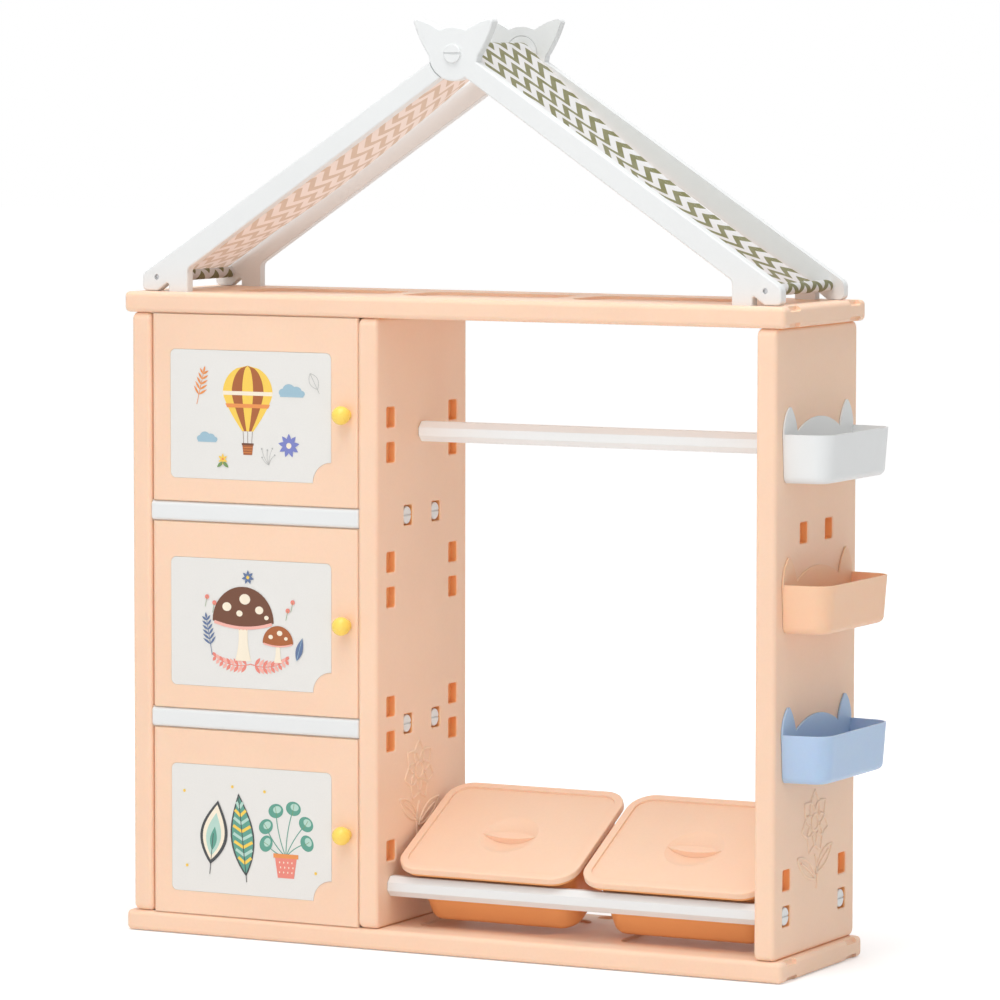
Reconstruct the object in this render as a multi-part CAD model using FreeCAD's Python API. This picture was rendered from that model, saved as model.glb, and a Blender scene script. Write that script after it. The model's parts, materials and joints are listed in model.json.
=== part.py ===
import FreeCAD, Part
import math
import os

# Kids wardrobe: a hollow-panel cabinet with three doors, an open hanging bay with two tilted
# bins, three hang-on baskets and a house-shaped roof with a cloth canopy.
# Millimetres. X runs right, Y runs back, Z runs up.
# The origin is the centre of the base board's underside.

Vec = FreeCAD.Vector

# Boards and panels
board_length = 1021.6
board_depth = 272.0
board_thick = 29.0
board_edge_round = 7.0
panel_height = 851.0
panel_depth = 270.0
panel_thick = 30.0
panel_corner_round = 11.0
panel_edge_round = 6.0
end_overhang = 12.0
cabinet_width = 333.1

# Panel tenons and their mortises in the boards
tenon_thick = 14.0
tenon_width = 50.0
tenon_height = 12.0
tenon_offset = 70.0
fit_gap = 0.2

# Shallow recesses and scoops moulded into the boards
recess_depth = 4.0
recess_round = 30.0
bay_recess_margin = 25.25
bay_recess_width = 158.0
bay_recess_front = 60.0
bay_recess_gap = 100.0
roof_recess_gap = 32.0
roof_recess_width = 120.0
roof_recess_margin = 42.0
dimple_radius = 15.0
dimple_depth = 5.0
dimple_rear_margin = 24.0
scoop_length = 34.0
scoop_height = 7.0
scoop_reach = 8.0
scoop_round = 3.0
scoop_offset = 100.0

# Pockets in the panels, in pairs one above the other
pocket_width = 26.0
pocket_height = 28.5
pocket_depth = 11.0
pocket_round = 3.5
pocket_flare = 1.8
pocket_pitch = 49.0
pair_count = 4
first_pair_height = 81.5
last_pair_margin = 163.5
column_offset = 92.5
shelf_column = 41.5

# Big slotted plastic screws
screw_head_radius = 12.4
screw_head_thick = 8.8
screw_head_round = 1.6
screw_shank_radius = 4.5
screw_reach = 24.0
screw_slot_width = 2.2
screw_slot_depth = 1.6
bore_gap = 0.2

# Rails with chamfered corners
rail_height = 28.4
rail_depth = 28.0
rail_chamfer = 8.4
rail_end_round = 2.5

# Shelves and cabinet back
shelf_thick = 28.0
shelf_setback = 1.0
shelf_edge_round = 6.0
shelf_end_round = 3.0
back_thick = 4.0
back_inset = 12.0
groove_depth = 5.0

# Doors, hinged on their left edge
door_thick = 16.0
door_gap = 1.2
door_setback = 1.4
door_edge_round = 2.5
door_back_recess = 4.0
door_back_margin = 34.0
hinge_pin_radius = 4.0
hinge_pin_out = 6.0
hinge_pin_in = 16.0
hinge_running_gap = 0.06
knob_radius = 13.0
knob_neck_radius = 7.0
knob_neck_length = 4.0
knob_flat_radius = 8.5
knob_margin = 17.9
knob_drop = 2.5
knob_screw_radius = 2.0
knob_screw_head_radius = 4.5
knob_screw_head_thick = 2.4
knob_screw_reach = 12.0

# Picture card let into each door
card_left_margin = 31.5
card_right_margin = 41.7
card_top_margin = 49.3
card_low_margin = 32.3
card_thick = 1.0
card_round = 8.0
card_notch = 29.0
card_gap = 0.25

# Baskets that hang in the right panel's upper pockets
basket_width = 230.0
basket_reach = 66.0
basket_side_draw = 7.0
basket_corner = 28.0
basket_height = 66.0
basket_taper = 5.0
basket_wall = 2.4
basket_floor_round = 10.0
basket_rim_above_pair = 21.6
basket_panel_gap = 0.4
ear_tip_offset = 94.0
ear_tip_height = 37.0
ear_notch_offset = 71.0
ear_notch_height = 1.0
dome_height = 18.5
ear_tip_round = 5.0
basket_plate_low = 6.0
peg_width = 20.0
peg_thick = 7.0
peg_reach = 9.5
peg_slope = 35.0
peg_lip_gap = 0.3
peg_slot_gap = 0.5

# Bins tilted between the two low rails, and their lids
bin_tilt = 27.3
lid_length = 216.0
lid_corner = 36.0
lid_spacing = 8.0
lid_left_gap = 10.0
lid_right_gap = 2.5
lid_wall = 2.5
lid_rim = 12.0
lid_field_drop = 3.0
lid_skirt = 9.0
lid_seat_gap = 0.3
grip_radius = 42.0
grip_from_rear = 117.0
grip_depth = 10.0
grip_ridge_half = 8.0
flange_inset = 4.5
flange_lip = 9.0
bin_wall = 2.5
bin_side_overhang = 14.0
bin_front_overhang = 17.3
bin_rear_overhang = 12.0
bin_height = 103.0
bin_taper = 8.0
bin_front_taper = 3.0
bin_corner = 28.0
bin_floor_round = 10.0
seat_gap = 0.3

# Roof frames
rafter_thick = 16.0
roof_depth = 224.0
ridge_height = 335.3
eave_height = 20.0
eave_inset = 39.7
rafter_up_top = 10.0
rafter_up_eave = 17.0
rafter_down = 17.0
nub_reach = 23.5
nub_floor_gap = 0.6
nub_flat = 24.5
nub_arch = 13.5
nub_top_round = 12.0
nub_low_round = 7.0
nub_heel_round = 2.5
foot_width = 30.5
foot_inset = 74.0
foot_insert = 15.0
foot_inner_round = 10.0
rafter_edge_round = 2.5
head_radius = 38.0
ear_spread = 63.5
ear_rise = 49.5
ear_bow = 2.6
ear_round = 5.0
notch_round = 2.5
crown_half = 20.0
crown_low = 32.5
crown_high = 37.0
lap_gap = 0.4
tongue_radius = 24.0
ridge_rod_radius = 14.0
eave_rod_radius = 7.0
rod_bore_depth = 22.0
bolt_head_radius = 13.0
bolt_head_thick = 3.5
bolt_head_round = 1.2
bolt_shank_radius = 4.8
eave_screw_radius = 2.0
eave_screw_head_radius = 3.6
eave_screw_head_thick = 2.2
eave_screw_sink = 3.6
eave_screw_reach = 18.0

# Roof cloth
cloth_thick = 1.2
cloth_gap = 0.3
cloth_edge_gap = 1.0
left_belly = 5.0
left_edge_sag = 3.0
right_belly = 26.0
right_edge_sag = 15.5
edge_turn_up = 36.0

# Places worked out from the sizes above
top_low = board_thick + panel_height
top_high = top_low + board_thick
left_panel_x = -board_length / 2 + end_overhang
cabinet_left = left_panel_x + panel_thick
cabinet_right = cabinet_left + cabinet_width
bay_left = cabinet_right + panel_thick
right_panel_x = board_length / 2 - end_overhang - panel_thick
bay_right = right_panel_x
right_face = right_panel_x + panel_thick
bay_middle = (bay_left + bay_right) / 2
lid_width = (bay_right - bay_left - lid_left_gap - lid_spacing - lid_right_gap) / 2
eave_offset = board_length / 2 - eave_inset
foot_offset = board_length / 2 - foot_inset
panel_front = -panel_depth / 2
panel_rear = panel_depth / 2
compartment = (panel_height - 2 * shelf_thick) / 3
pair_pitch = (panel_height - first_pair_height - last_pair_margin) / (pair_count - 1)
back_front = panel_rear - back_inset - back_thick
door_front = panel_front + door_setback
hinge_x = cabinet_left + door_gap + door_thick / 2
hinge_y = door_front + door_thick / 2
door_right = cabinet_right - door_gap
ridge_z = top_high + ridge_height
eave_z = top_high + eave_height
rafter_inner = roof_depth / 2 - rafter_thick


# Helper shapes

def box(x0, x1, y0, y1, z0, z1):
    return Part.makeBox(x1 - x0, y1 - y0, z1 - z0, Vec(x0, y0, z0))


def rod(radius, start, direction, length):
    return Part.makeCylinder(radius, length, start, direction)


def join(shapes):
    return shapes[0].multiFuse(shapes[1:]).removeSplitter()


def cut_all(shape, tools):
    return shape.cut(Part.makeCompound(tools))


def edge_run(edge):
    return edge.Vertexes[-1].Point - edge.Vertexes[0].Point


def edges_along(shape, axis):
    found = []
    for edge in shape.Edges:
        run = edge_run(edge)
        if run.Length > 0 and run.cross(axis).Length < 1e-6 * run.Length:
            found.append(edge)
    return found


def edges_at(shape, axis, place):
    found = []
    for edge in shape.Edges:
        if all(abs(vertex.Point.dot(axis) - place) < 1e-4 for vertex in edge.Vertexes):
            found.append(edge)
    return found


def on_xz(y):
    return lambda point: Vec(point[0], y, point[1])


def on_yz(x):
    return lambda point: Vec(x, point[0], point[1])


def on_xy(z):
    return lambda point: Vec(point[0], point[1], z)


def outline(start, steps, place):
    # A step is an end point for a straight side, or a (through, end) pair for an arc.
    edges = []
    here = start
    for step in steps:
        if isinstance(step[0], tuple):
            through, end = step
            edges.append(Part.Arc(place(here), place(through), place(end)).toShape())
        else:
            end = step
            edges.append(Part.LineSegment(place(here), place(end)).toShape())
        here = end
    if here != start:
        edges.append(Part.LineSegment(place(here), place(start)).toShape())
    return Part.Wire(edges)


def slab(wire, sweep):
    return Part.Face(wire).extrude(sweep)


def round_rect(left, right, low, high, radius, place):
    diagonal = radius * (1 - math.sqrt(0.5))
    steps = [
        (right - radius, low),
        ((right - diagonal, low + diagonal), (right, low + radius)),
        (right, high - radius),
        ((right - diagonal, high - diagonal), (right - radius, high)),
        (left + radius, high),
        ((left + diagonal, high - diagonal), (left, high - radius)),
        (left, low + radius),
        ((left + diagonal, low + diagonal), (left + radius, low)),
    ]
    return outline((left + radius, low), steps, place)


def frustum(lower_wire, upper_wire):
    return Part.makeLoft([lower_wire, upper_wire], True, True)


def mirrored_y(shape):
    return shape.mirror(Vec(0, 0, 0), Vec(0, 1, 0))


# Heights of the pocket pairs and the shelves

def pair_z(index):
    return board_thick + first_pair_height + index * pair_pitch


def pocket_z(index, side):
    return pair_z(index) + side * pocket_pitch / 2


def shelf_low(index):
    return board_thick + compartment * (index + 1) + shelf_thick * index


def shelf_middle(index):
    return shelf_low(index) + shelf_thick / 2


def compartment_low(index):
    return board_thick + index * (compartment + shelf_thick)


low_rail_z = pocket_z(0, -1)
clothes_rail_z = pair_z(pair_count - 1)
shelf_indexes = (0, 1)
basket_pairs = (1, 2, 3)
columns = (-column_offset, column_offset)
shelf_columns = (-shelf_column, shelf_column)


def pair_places():
    places = []
    for index in range(pair_count):
        for side in (-1, 1):
            for y in columns:
                places.append((y, pocket_z(index, side)))
    return places


def shelf_places():
    return [(y, shelf_middle(index)) for index in shelf_indexes for y in shelf_columns]


rail_places = [(y, low_rail_z) for y in columns]
clothes_place = (0.0, clothes_rail_z)


# Boards

def board_recess(left, right, front, rear, z_face):
    wire = round_rect(left, right, front, rear, recess_round, on_xy(z_face - recess_depth))
    return slab(wire, Vec(0, 0, board_thick))


def end_scoops(z_low):
    tools = []
    for end in (-1, 1):
        for y in (-scoop_offset, scoop_offset):
            for z in (z_low, z_low + board_thick):
                tool = Part.makeBox(2 * scoop_reach, scoop_length, 2 * scoop_height)
                tool = tool.makeFillet(scoop_round, tool.Edges)
                x = end * board_length / 2
                tool.translate(Vec(x - scoop_reach, y - scoop_length / 2, z - scoop_height))
                tools.append(tool)
    return tools


def tenon_boxes(panel_x, gap, z_face, direction):
    middle = panel_x + panel_thick / 2
    half_thick = tenon_thick / 2 + gap
    half_width = tenon_width / 2 + gap
    reach = direction * (tenon_height + gap)
    tenons = []
    for y in (-tenon_offset, tenon_offset):
        x0 = middle - half_thick
        x1 = middle + half_thick
        z0, z1 = sorted((z_face, z_face + reach))
        tenons.append(box(x0, x1, y - half_width, y + half_width, z0, z1))
    return tenons


def panel_xs():
    return (left_panel_x, cabinet_right, right_panel_x)


def plain_board(z_low):
    half_x = board_length / 2
    half_y = board_depth / 2
    shape = box(-half_x, half_x, -half_y, half_y, z_low, z_low + board_thick)
    return shape.makeFillet(board_edge_round, shape.Edges)


def hinge_socket(z_face, direction):
    depth = hinge_pin_out + hinge_running_gap
    mouth = Vec(hinge_x, hinge_y, z_face)
    return rod(hinge_pin_radius + hinge_running_gap, mouth, Vec(0, 0, direction), depth)


def base_board():
    tools = end_scoops(0.0)
    for x in panel_xs():
        tools += tenon_boxes(x, fit_gap, board_thick, -1)
    recess_reach = (bay_right - bay_left) / 2 - bay_recess_margin
    for side in (-1, 1):
        near = bay_middle + side * bay_recess_gap / 2
        far = bay_middle + side * recess_reach
        left, right = sorted((near, far))
        front = -board_depth / 2 + bay_recess_front
        tools.append(board_recess(left, right, front, front + bay_recess_width, board_thick))
    dimple_x = bay_middle - bay_recess_gap / 2
    dimple_y = board_depth / 2 - dimple_rear_margin
    dimple_floor = Vec(dimple_x, dimple_y, board_thick - dimple_depth)
    tools.append(rod(dimple_radius, dimple_floor, Vec(0, 0, 1), board_thick))
    tools.append(hinge_socket(board_thick, -1))
    return cut_all(plain_board(0.0), tools)


def top_board():
    tools = end_scoops(top_low)
    for x in panel_xs():
        tools += tenon_boxes(x, fit_gap, top_low, 1)
    recess_reach = foot_offset - foot_width / 2 - roof_recess_margin
    recess_length = 2 * (recess_reach - roof_recess_gap) / 3
    for place in (-1, 0, 1):
        middle = place * (recess_length + roof_recess_gap)
        half_x = recess_length / 2
        half_y = roof_recess_width / 2
        tools.append(board_recess(middle - half_x, middle + half_x, -half_y, half_y, top_high))
    foot_middle = roof_depth / 2 - rafter_thick / 2
    half_wide = foot_width / 2 + fit_gap
    half_deep = rafter_thick / 2 + fit_gap
    for x in (-foot_offset, foot_offset):
        for y in (-foot_middle, foot_middle):
            z_floor = top_high - foot_insert - fit_gap
            tools.append(box(x - half_wide, x + half_wide, y - half_deep, y + half_deep, z_floor, top_high))
    tools.append(hinge_socket(top_low, 1))
    return cut_all(plain_board(top_low), tools)


# Panels

def pocket(x_face, side, y, z):
    # A flared blind pocket that opens on the face looking along side.
    def section(x, grow):
        half_w = pocket_width / 2 + grow
        half_h = pocket_height / 2 + grow
        return round_rect(y - half_w, y + half_w, z - half_h, z + half_h, pocket_round + grow, on_yz(x))
    straight = slab(section(x_face - side * pocket_depth, 0.0), Vec(side * pocket_depth, 0, 0))
    flare = frustum(section(x_face - side * pocket_flare, 0.0), section(x_face, pocket_flare))
    return straight.fuse(flare)


def panel_blank(x_left):
    shape = box(x_left, x_left + panel_thick, panel_front, panel_rear, board_thick, top_low)
    shape = shape.makeFillet(panel_corner_round, edges_along(shape, Vec(1, 0, 0)))
    rim = edges_at(shape, Vec(1, 0, 0), x_left) + edges_at(shape, Vec(1, 0, 0), x_left + panel_thick)
    shape = shape.makeFillet(panel_edge_round, rim)
    tenons = tenon_boxes(x_left, 0.0, board_thick, -1) + tenon_boxes(x_left, 0.0, top_low, 1)
    return join([shape] + tenons)


def screw_bores(x_left, places):
    radius = screw_shank_radius + bore_gap
    return [rod(radius, Vec(x_left - 1, y, z), Vec(1, 0, 0), panel_thick + 2) for y, z in places]


def back_groove(x_inner, side):
    x0, x1 = sorted((x_inner, x_inner - side * groove_depth))
    return box(x0, x1, back_front - fit_gap, back_front + back_thick + fit_gap, board_thick - 1, top_low + 1)


def upright(x_left, left_places, right_places, bore_places, slots):
    tools = [pocket(x_left, -1, y, z) for y, z in left_places]
    tools += [pocket(x_left + panel_thick, 1, y, z) for y, z in right_places]
    tools += screw_bores(x_left, bore_places)
    return cut_all(panel_blank(x_left), tools + slots)


def left_side_panel():
    outer = pair_places() + shelf_places()
    return upright(left_panel_x, outer, pair_places(), shelf_places(), [back_groove(cabinet_left, 1)])


def centre_panel():
    facing_cabinet = pair_places() + [clothes_place]
    facing_bay = [place for place in pair_places() if place not in rail_places] + shelf_places()
    bores = shelf_places() + rail_places + [clothes_place]
    return upright(cabinet_right, facing_cabinet, facing_bay, bores, [back_groove(cabinet_right, -1)])


def right_side_panel():
    facing_bay = [place for place in pair_places() if place not in rail_places]
    outer = pair_places() + shelf_places() + [clothes_place]
    hooks = [basket_peg(y, index, peg_slot_gap) for index in basket_pairs for y in columns]
    return upright(right_panel_x, facing_bay, outer, rail_places + [clothes_place], hooks)


# Shelves, back and rails

def shelf(index):
    low = shelf_low(index)
    front = panel_front + shelf_setback
    shape = box(cabinet_left, cabinet_right, front, back_front, low, low + shelf_thick)
    front_edges = [edge for edge in edges_along(shape, Vec(1, 0, 0)) if edge.Vertexes[0].Y < 0]
    shape = shape.makeFillet(shelf_edge_round, front_edges)
    ends = edges_at(shape, Vec(1, 0, 0), cabinet_left) + edges_at(shape, Vec(1, 0, 0), cabinet_right)
    near_front = [edge for edge in ends if edge.CenterOfMass.y < front + shelf_edge_round]
    shape = shape.makeFillet(shelf_end_round, near_front)
    tools = [hinge_socket(low, 1), hinge_socket(low + shelf_thick, -1)]
    for y in shelf_columns:
        tools += end_bores(cabinet_left, cabinet_right, y, shelf_middle(index))
    return cut_all(shape, tools)


def end_bores(x_low, x_high, y, z):
    radius = screw_shank_radius + bore_gap
    depth = screw_reach + bore_gap
    return [
        rod(radius, Vec(x_low, y, z), Vec(1, 0, 0), depth),
        rod(radius, Vec(x_high, y, z), Vec(-1, 0, 0), depth),
    ]


def cabinet_back():
    x0 = cabinet_left - groove_depth + fit_gap
    x1 = cabinet_right + groove_depth - fit_gap
    return box(x0, x1, back_front, back_front + back_thick, board_thick, top_low)


def rail_corners(y, z):
    half_y = rail_depth / 2
    half_z = rail_height / 2
    flat_y = half_y - rail_chamfer
    flat_z = half_z - rail_chamfer
    around = [
        (-flat_y, -half_z), (flat_y, -half_z), (half_y, -flat_z), (half_y, flat_z),
        (flat_y, half_z), (-flat_y, half_z), (-half_y, flat_z), (-half_y, -flat_z),
    ]
    return [(y + step_y, z + step_z) for step_y, step_z in around]


def rail(y, z):
    corners = rail_corners(y, z)
    wire = outline(corners[0], corners[1:], on_yz(bay_left))
    shape = slab(wire, Vec(bay_right - bay_left, 0, 0))
    ends = edges_at(shape, Vec(1, 0, 0), bay_left) + edges_at(shape, Vec(1, 0, 0), bay_right)
    shape = shape.makeFillet(rail_end_round, ends)
    return cut_all(shape, end_bores(bay_left, bay_right, y, z))


def big_screw(x_face, side, y, z):
    # The head sits on the pocket's floor, and the shank runs through the panel into the piece behind.
    floor_x = x_face - side * pocket_depth
    outward = Vec(side, 0, 0)
    head = rod(screw_head_radius, Vec(floor_x, y, z), outward, screw_head_thick)
    crown = edges_at(head, Vec(1, 0, 0), floor_x + side * screw_head_thick)
    head = head.makeFillet(screw_head_round, crown)
    length = panel_thick - pocket_depth + screw_reach
    shank = rod(screw_shank_radius, Vec(floor_x, y, z), outward.negative(), length)
    slot_x = floor_x + side * (screw_head_thick - screw_slot_depth)
    x0, x1 = sorted((slot_x, slot_x + side * 2 * screw_slot_depth))
    reach = screw_head_radius + 1
    half_slot = screw_slot_width / 2
    slot = box(x0, x1, y - reach, y + reach, z - half_slot, z + half_slot)
    return join([head, shank]).cut(slot)


def shelf_screws():
    screws = [big_screw(left_panel_x, -1, y, z) for y, z in shelf_places()]
    screws += [big_screw(bay_left, 1, y, z) for y, z in shelf_places()]
    return Part.makeCompound(screws)


def rail_screws():
    places = rail_places + [clothes_place]
    screws = [big_screw(cabinet_right, -1, y, z) for y, z in places]
    screws += [big_screw(right_face, 1, y, z) for y, z in places]
    return Part.makeCompound(screws)


# Doors

def door_low(index):
    return compartment_low(index) + door_gap


def door_high(index):
    return compartment_low(index) + compartment - door_gap


def door_middle(index):
    return compartment_low(index) + compartment / 2


def card_shape(index, depth, grow):
    left = hinge_x - door_thick / 2 + card_left_margin - grow
    right = door_right - card_right_margin + grow
    low = door_low(index) + card_low_margin - grow
    high = door_high(index) - card_top_margin + grow
    wire = round_rect(left, right, low, high, card_round, on_xz(door_front))
    blank = slab(wire, Vec(0, depth, 0))
    notch = rod(card_notch - grow, Vec(right, door_front - 1, low), Vec(0, 1, 0), depth + 2)
    return blank.cut(notch)


def knob_x():
    return door_right - knob_margin


def knob_z(index):
    return door_middle(index) - knob_drop


def pin_place(index, side):
    z = door_high(index) if side > 0 else door_low(index)
    return Vec(hinge_x, hinge_y, z - side * hinge_pin_in)


def pin_length():
    return hinge_pin_in + door_gap + hinge_pin_out


def door(index):
    rear = door_front + door_thick
    steps = [
        (door_right, door_front),
        (door_right, rear),
        (hinge_x, rear),
        ((hinge_x - door_thick / 2, hinge_y), (hinge_x, door_front)),
    ]
    wire = outline((hinge_x, door_front), steps, on_xy(door_low(index)))
    shape = slab(wire, Vec(0, 0, door_high(index) - door_low(index)))
    uprights = edges_along(shape, Vec(0, 0, 1))
    free_edges = [edge for edge in uprights if abs(edge.Vertexes[0].X - door_right) < 1e-4]
    shape = shape.makeFillet(door_edge_round, free_edges)
    left = hinge_x + door_back_margin
    right = door_right - door_back_margin
    low = door_low(index) + door_back_margin
    high = door_high(index) - door_back_margin
    recess = round_rect(left, right, low, high, card_round, on_xz(rear - door_back_recess))
    tools = [slab(recess, Vec(0, 2 * door_back_recess, 0))]
    tools.append(card_shape(index, card_thick, card_gap))
    for side in (-1, 1):
        reach = hinge_pin_in + bore_gap
        start = pin_place(index, side) - Vec(0, 0, side * bore_gap)
        tools.append(rod(hinge_pin_radius + hinge_running_gap, start, Vec(0, 0, side), reach + 1))
    bore_start = Vec(knob_x(), door_front - 1, knob_z(index))
    screw_bore = rod(knob_screw_radius + bore_gap, bore_start, Vec(0, 1, 0), door_thick + 2)
    sink_start = Vec(knob_x(), rear - knob_screw_head_thick, knob_z(index))
    sink = rod(knob_screw_head_radius + bore_gap, sink_start, Vec(0, 1, 0), 2 * knob_screw_head_thick)
    return cut_all(shape, tools + [screw_bore, sink])


def door_card(index):
    return card_shape(index, card_thick, 0.0)


def knob(index):
    centre_out = knob_neck_length + math.sqrt(knob_radius ** 2 - knob_neck_radius ** 2)
    centre = Vec(knob_x(), door_front - centre_out, knob_z(index))
    ball = Part.makeSphere(knob_radius, centre)
    foot = Vec(knob_x(), door_front, knob_z(index))
    neck = rod(knob_neck_radius, foot, Vec(0, -1, 0), centre_out)
    flat = rod(knob_flat_radius, foot, Vec(0, -1, 0), knob_neck_length / 2)
    bore = rod(knob_screw_radius + bore_gap, foot, Vec(0, -1, 0), knob_screw_reach + bore_gap)
    return join([ball, neck, flat]).cut(bore)


def knob_screw(index):
    head_face = Vec(knob_x(), door_front + door_thick - knob_screw_head_thick, knob_z(index))
    head = rod(knob_screw_head_radius, head_face, Vec(0, 1, 0), knob_screw_head_thick)
    length = door_thick - knob_screw_head_thick + knob_screw_reach
    return join([head, rod(knob_screw_radius, head_face, Vec(0, -1, 0), length)])


def hinge_pins(index):
    pins = [rod(hinge_pin_radius, pin_place(index, side), Vec(0, 0, side), pin_length()) for side in (-1, 1)]
    return Part.makeCompound(pins)


# Baskets

def basket_outline(inset, z):
    # Plan of the tray: straight back on the panel, drawn-in sides and two round front corners.
    x_back = right_face + basket_panel_gap
    x_front = x_back + basket_reach - inset
    half_back = basket_width / 2 - inset
    half_front = half_back - basket_side_draw
    radius = basket_corner - inset
    lean = math.atan2(basket_side_draw, basket_reach)
    turn = math.pi / 2 - lean
    tangent = radius * math.tan(turn / 2)
    corner_y = half_front + inset * math.tan(lean)

    def corner(side):
        on_side = (x_front - tangent * math.cos(lean), side * (corner_y + tangent * math.sin(lean)))
        on_front = (x_front, side * (corner_y - tangent))
        centre = (x_front - radius, on_front[1])
        half_way = turn / 2
        middle = (centre[0] + radius * math.cos(half_way), centre[1] + side * radius * math.sin(half_way))
        return on_side, middle, on_front

    side_a, mid_a, front_a = corner(-1)
    side_b, mid_b, front_b = corner(1)
    steps = [side_a, (mid_a, front_a), front_b, (mid_b, side_b), (x_back, half_back)]
    return outline((x_back, -half_back), steps, on_xy(z))


def basket_plate(rim):
    # Back plate with two pointed ears and a dome between them.
    half = basket_width / 2
    inner_half = ear_notch_offset
    tip = rim + ear_tip_height
    notch = rim + ear_notch_height
    lean = (half - ear_tip_offset) / 2

    def ear_out(side):
        return (side * (half - lean / 2), rim + ear_tip_height * 0.55)

    def ear_in(side):
        return (side * (inner_half + (ear_tip_offset - inner_half) * 0.35), rim + ear_tip_height * 0.55)

    low = rim - basket_plate_low
    steps = [
        (half, rim),
        (ear_out(1), (ear_tip_offset, tip)),
        (ear_in(1), (inner_half, notch)),
        ((0.0, rim + dome_height), (-inner_half, notch)),
        (ear_in(-1), (-ear_tip_offset, tip)),
        (ear_out(-1), (-half, rim)),
        (-half, low),
    ]
    wire = outline((half, low), steps, on_yz(right_face + basket_panel_gap))
    plate = slab(wire, Vec(basket_wall, 0, 0))
    tips = [edge for edge in edges_along(plate, Vec(1, 0, 0)) if abs(edge.Vertexes[0].Z - tip) < 1e-4]
    return plate.makeFillet(ear_tip_round, tips)


def basket_peg(y, index, grow):
    # A flat peg that slopes down into the pocket and hooks behind the pocket's lower lip.
    slope = math.tan(math.radians(peg_slope))
    tall = peg_thick / math.cos(math.radians(peg_slope)) + 2 * grow
    lip_x = right_face - pocket_flare
    lip_z = pocket_z(index, 1) - pocket_height / 2 + peg_lip_gap - grow
    x_out = right_face + basket_panel_gap + basket_wall / 2
    x_in = right_face - peg_reach - grow
    half = peg_width / 2 + grow

    def under(x):
        return lip_z + (x - lip_x) * slope

    corners = [
        (x_in, under(x_in)),
        (x_out, under(x_out)),
        (x_out, under(x_out) + tall),
        (x_in, under(x_in) + tall),
    ]
    wire = outline(corners[0], corners[1:], on_xz(y - half))
    return slab(wire, Vec(0, 2 * half, 0))


def basket(index):
    rim = pair_z(index) + basket_rim_above_pair
    floor = rim - basket_height
    outer = frustum(basket_outline(basket_taper, floor), basket_outline(0.0, rim))
    outer = outer.makeFillet(basket_floor_round, floor_edges(outer, floor))
    inner_floor = floor + basket_wall
    inner_low = basket_outline(basket_taper + basket_wall, inner_floor)
    inner = frustum(inner_low, basket_outline(basket_wall, rim))
    inner = inner.makeFillet(basket_floor_round - basket_wall, floor_edges(inner, inner_floor))
    x_plate = right_face + basket_panel_gap + basket_wall
    keep = box(x_plate, x_plate + basket_reach, -basket_width, basket_width, floor, rim + 1)
    tray = outer.cut(inner.common(keep))
    pegs = [basket_peg(y, index, 0.0) for y in columns]
    return join([tray, basket_plate(rim)] + pegs)


def floor_edges(shape, z):
    clear_of_back = right_face + basket_wall
    return [edge for edge in edges_at(shape, Vec(0, 0, 1), z) if edge.CenterOfMass.x > clear_of_back]


# Bins and lids, made in a level frame and then tilted.
# In that frame X runs right, Y runs up the slope from the lid's front edge, and Z is the lid's normal.

def bin_plan(depth, wall):
    # Wall outline of the bin at a depth below the lid's top, with the sides drawing in.
    share = depth / bin_height
    half = lid_width / 2 - bin_side_overhang - bin_taper * share - wall
    front = bin_front_overhang + bin_front_taper * share + wall
    rear = lid_length - bin_rear_overhang - bin_taper * share - wall
    return round_rect(-half, half, front, rear, bin_corner - wall, on_xy(-depth))


def lid_plan(inset, z):
    half = lid_width / 2 - inset
    return round_rect(-half, half, inset, lid_length - inset, lid_corner - inset, on_xy(z))


flange_top = lid_field_drop + lid_wall + lid_seat_gap


def bin_body():
    outer = frustum(bin_plan(bin_height, 0.0), bin_plan(flange_top, 0.0))
    outer = outer.makeFillet(bin_floor_round, edges_at(outer, Vec(0, 0, 1), -bin_height))
    inner_floor = bin_height - bin_wall
    inner = frustum(bin_plan(inner_floor, bin_wall), bin_plan(flange_top - 1, bin_wall))
    inner = inner.makeFillet(bin_floor_round - bin_wall, edges_at(inner, Vec(0, 0, 1), -inner_floor))
    flange = slab(lid_plan(flange_inset, -flange_top - flange_lip), Vec(0, 0, flange_lip))
    hollow_top = flange_top + bin_wall
    hollow = slab(lid_plan(flange_inset + bin_wall, -hollow_top - flange_lip), Vec(0, 0, flange_lip))
    return join([outer, flange.cut(hollow)]).cut(inner)


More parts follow.
